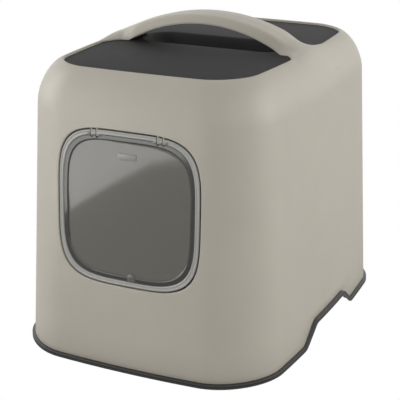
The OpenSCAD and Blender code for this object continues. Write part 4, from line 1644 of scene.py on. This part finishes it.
@dataclass
class Studio:
    """The pale floor, the soft boxes and the camera at the photograph's angle."""

    camera_at: Point = (694.776, -1473.313, 721.417)
    look_at: Point = (16.39, -61.86, 180.37)
    lens: float = 108.0
    ambient: float = 0.45
    mirrored_room: float = 1.1
    mirrored_floor: float = 0.4
    # Glow of the card that paints a reflection into the pane; it lights nothing.
    card_glow: float = 3.2
    card_up: float = 2.0
    card_edge: tuple[tuple[float, float], ...] = (
        (-570, -600), (-560, -950), (-544, -1080), (-519, -1219), (-479, -1359), (-408, -1456),
        (-313, -1500), (-100, -1560), (500, -1640), (500, -3600), (-3600, -3600), (-3600, -600),
    )
    floor_half: float = 6000.0
    floor_up: float = -0.4
    sensor: float = 36.0
    far_clip: float = 20.0

    def for_rays(self, tree: bpy.types.NodeTree, kind: str, lit: bpy.types.NodeSocket,
                 mirrored: float) -> bpy.types.NodeSocket:
        """Mixes a surface so that the camera and clear pieces see plain white.

        Args:
            tree: The material's or the world's nodes.
            kind: Type name of a plain glowing shader for that tree.
            lit: The shader that lights the object.
            mirrored: Brightness that reflections see.

        Returns:
            The mixed shader.
        """
        path = tree.nodes.new("ShaderNodeLightPath")
        shader = lit
        for ray, strength in ((Ray.GLOSSY, mirrored), (Ray.TRANSMISSION, 1.0), (Ray.CAMERA, 1.0)):
            glow = tree.nodes.new(kind)
            glow.inputs[0].default_value = (1.0, 1.0, 1.0, 1.0)
            glow.inputs[1].default_value = strength
            mixed = tree.nodes.new("ShaderNodeMixShader")
            tree.links.new(path.outputs[ray.value], mixed.inputs[0])
            tree.links.new(shader, mixed.inputs[1])
            tree.links.new(glow.outputs[0], mixed.inputs[2])
            shader = mixed.outputs[0]
        return shader

    def world(self) -> None:
        """Lights the room softly and shows it white to the camera."""
        world = bpy.data.worlds.new("Studio")
        bpy.context.scene.world = world
        world.use_nodes = True
        tree = world.node_tree
        room = tree.nodes["Background"]
        room.inputs[0].default_value = (1.0, 0.985, 0.965, 1.0)
        room.inputs[1].default_value = self.ambient
        seen = self.for_rays(tree, "ShaderNodeBackground", room.outputs[0], self.mirrored_room)
        tree.links.new(seen, tree.nodes["World Output"].inputs[0])

    def flat(self, name: str, material: bpy.types.Material, corners: Sequence[Point]) -> bpy.types.Object:
        """Lays a flat sheet of the set.

        Args:
            name: Name of the sheet.
            material: Its material.
            corners: Its outline in mm.

        Returns:
            The sheet.
        """
        shape = Mesh()
        ring = shape.ring(corners)
        bmesh.ops.holes_fill(shape.bm, edges=shape.edges_of(ring), sides=0)
        made = shape.settle(name)
        made.data.materials.append(material)
        return made

    def floor(self) -> None:
        """Lays the pale floor."""
        material = bpy.data.materials.new("Pale studio floor")
        material.use_nodes = True
        tree = material.node_tree
        shader = tree.nodes["Principled BSDF"]
        shader.inputs["Base Color"].default_value = (0.86, 0.86, 0.86, 1.0)
        shader.inputs["Roughness"].default_value = 0.9
        seen = self.for_rays(tree, "ShaderNodeEmission", shader.outputs[0], self.mirrored_floor)
        tree.links.new(seen, tree.nodes["Material Output"].inputs[0])
        half, corners = self.floor_half, ((-1, -1), (1, -1), (1, 1), (-1, 1))
        self.flat("floor", material, [(x * half, y * half, self.floor_up) for x, y in corners])

    def card(self) -> None:
        """Lays a bright card on the floor, which only glossy surfaces mirror: it paints a reflection into the
        pane and lights nothing.
        """
        recipe = Recipe("Glossy-only card for a painted reflection")
        glow = recipe.node("ShaderNodeEmission", {}, {
            "Color": (1.0, 0.99, 0.97, 1.0), "Strength": self.card_glow,
        })
        made = self.flat("card", recipe.finish(glow), [(x, y, self.card_up) for x, y in self.card_edge])
        made.visible_camera = False
        made.visible_diffuse = False
        made.visible_transmission = False
        made.visible_shadow = False

    def camera(self) -> None:
        """Stands the camera where the photograph was taken."""
        data = bpy.data.cameras.new("camera")
        data.lens = self.lens
        data.sensor_width = self.sensor
        data.clip_end = self.far_clip
        made = bpy.data.objects.new("camera", data)
        place, target = Vector(self.camera_at) * MM, Vector(self.look_at) * MM
        made.location = place
        made.rotation_euler = (target - place).to_track_quat("-Z", "Y").to_euler()
        bpy.context.scene.collection.objects.link(made)
        bpy.context.scene.camera = made

    def build(self) -> None:
        """Sets up the whole studio."""
        self.camera()
        self.world()
        self.floor()
        self.card()
        for box in SOFT_BOXES:
            box.build()
        bpy.context.scene.view_settings.view_transform = "Standard"


def dress_frame(finishes: Finishes) -> None:
    """Gives the CAD nodes that stay in sight their finishes."""
    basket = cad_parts["filter_basket"]
    basket.data.materials.clear()
    basket.data.materials.append(finishes.tray)


def main() -> None:
    """Builds the pieces in order."""
    logging.basicConfig(level=logging.INFO, format="%(name)s: %(message)s")
    finishes = Finishes()
    Studio().build()
    for assembly in (Tray(), Hood(), Handle(), TopPanel(), Flap(), Catch(), Filter()):
        assembly.build(finishes)
    dress_frame(finishes)


if __name__ == "__main__":
    main()
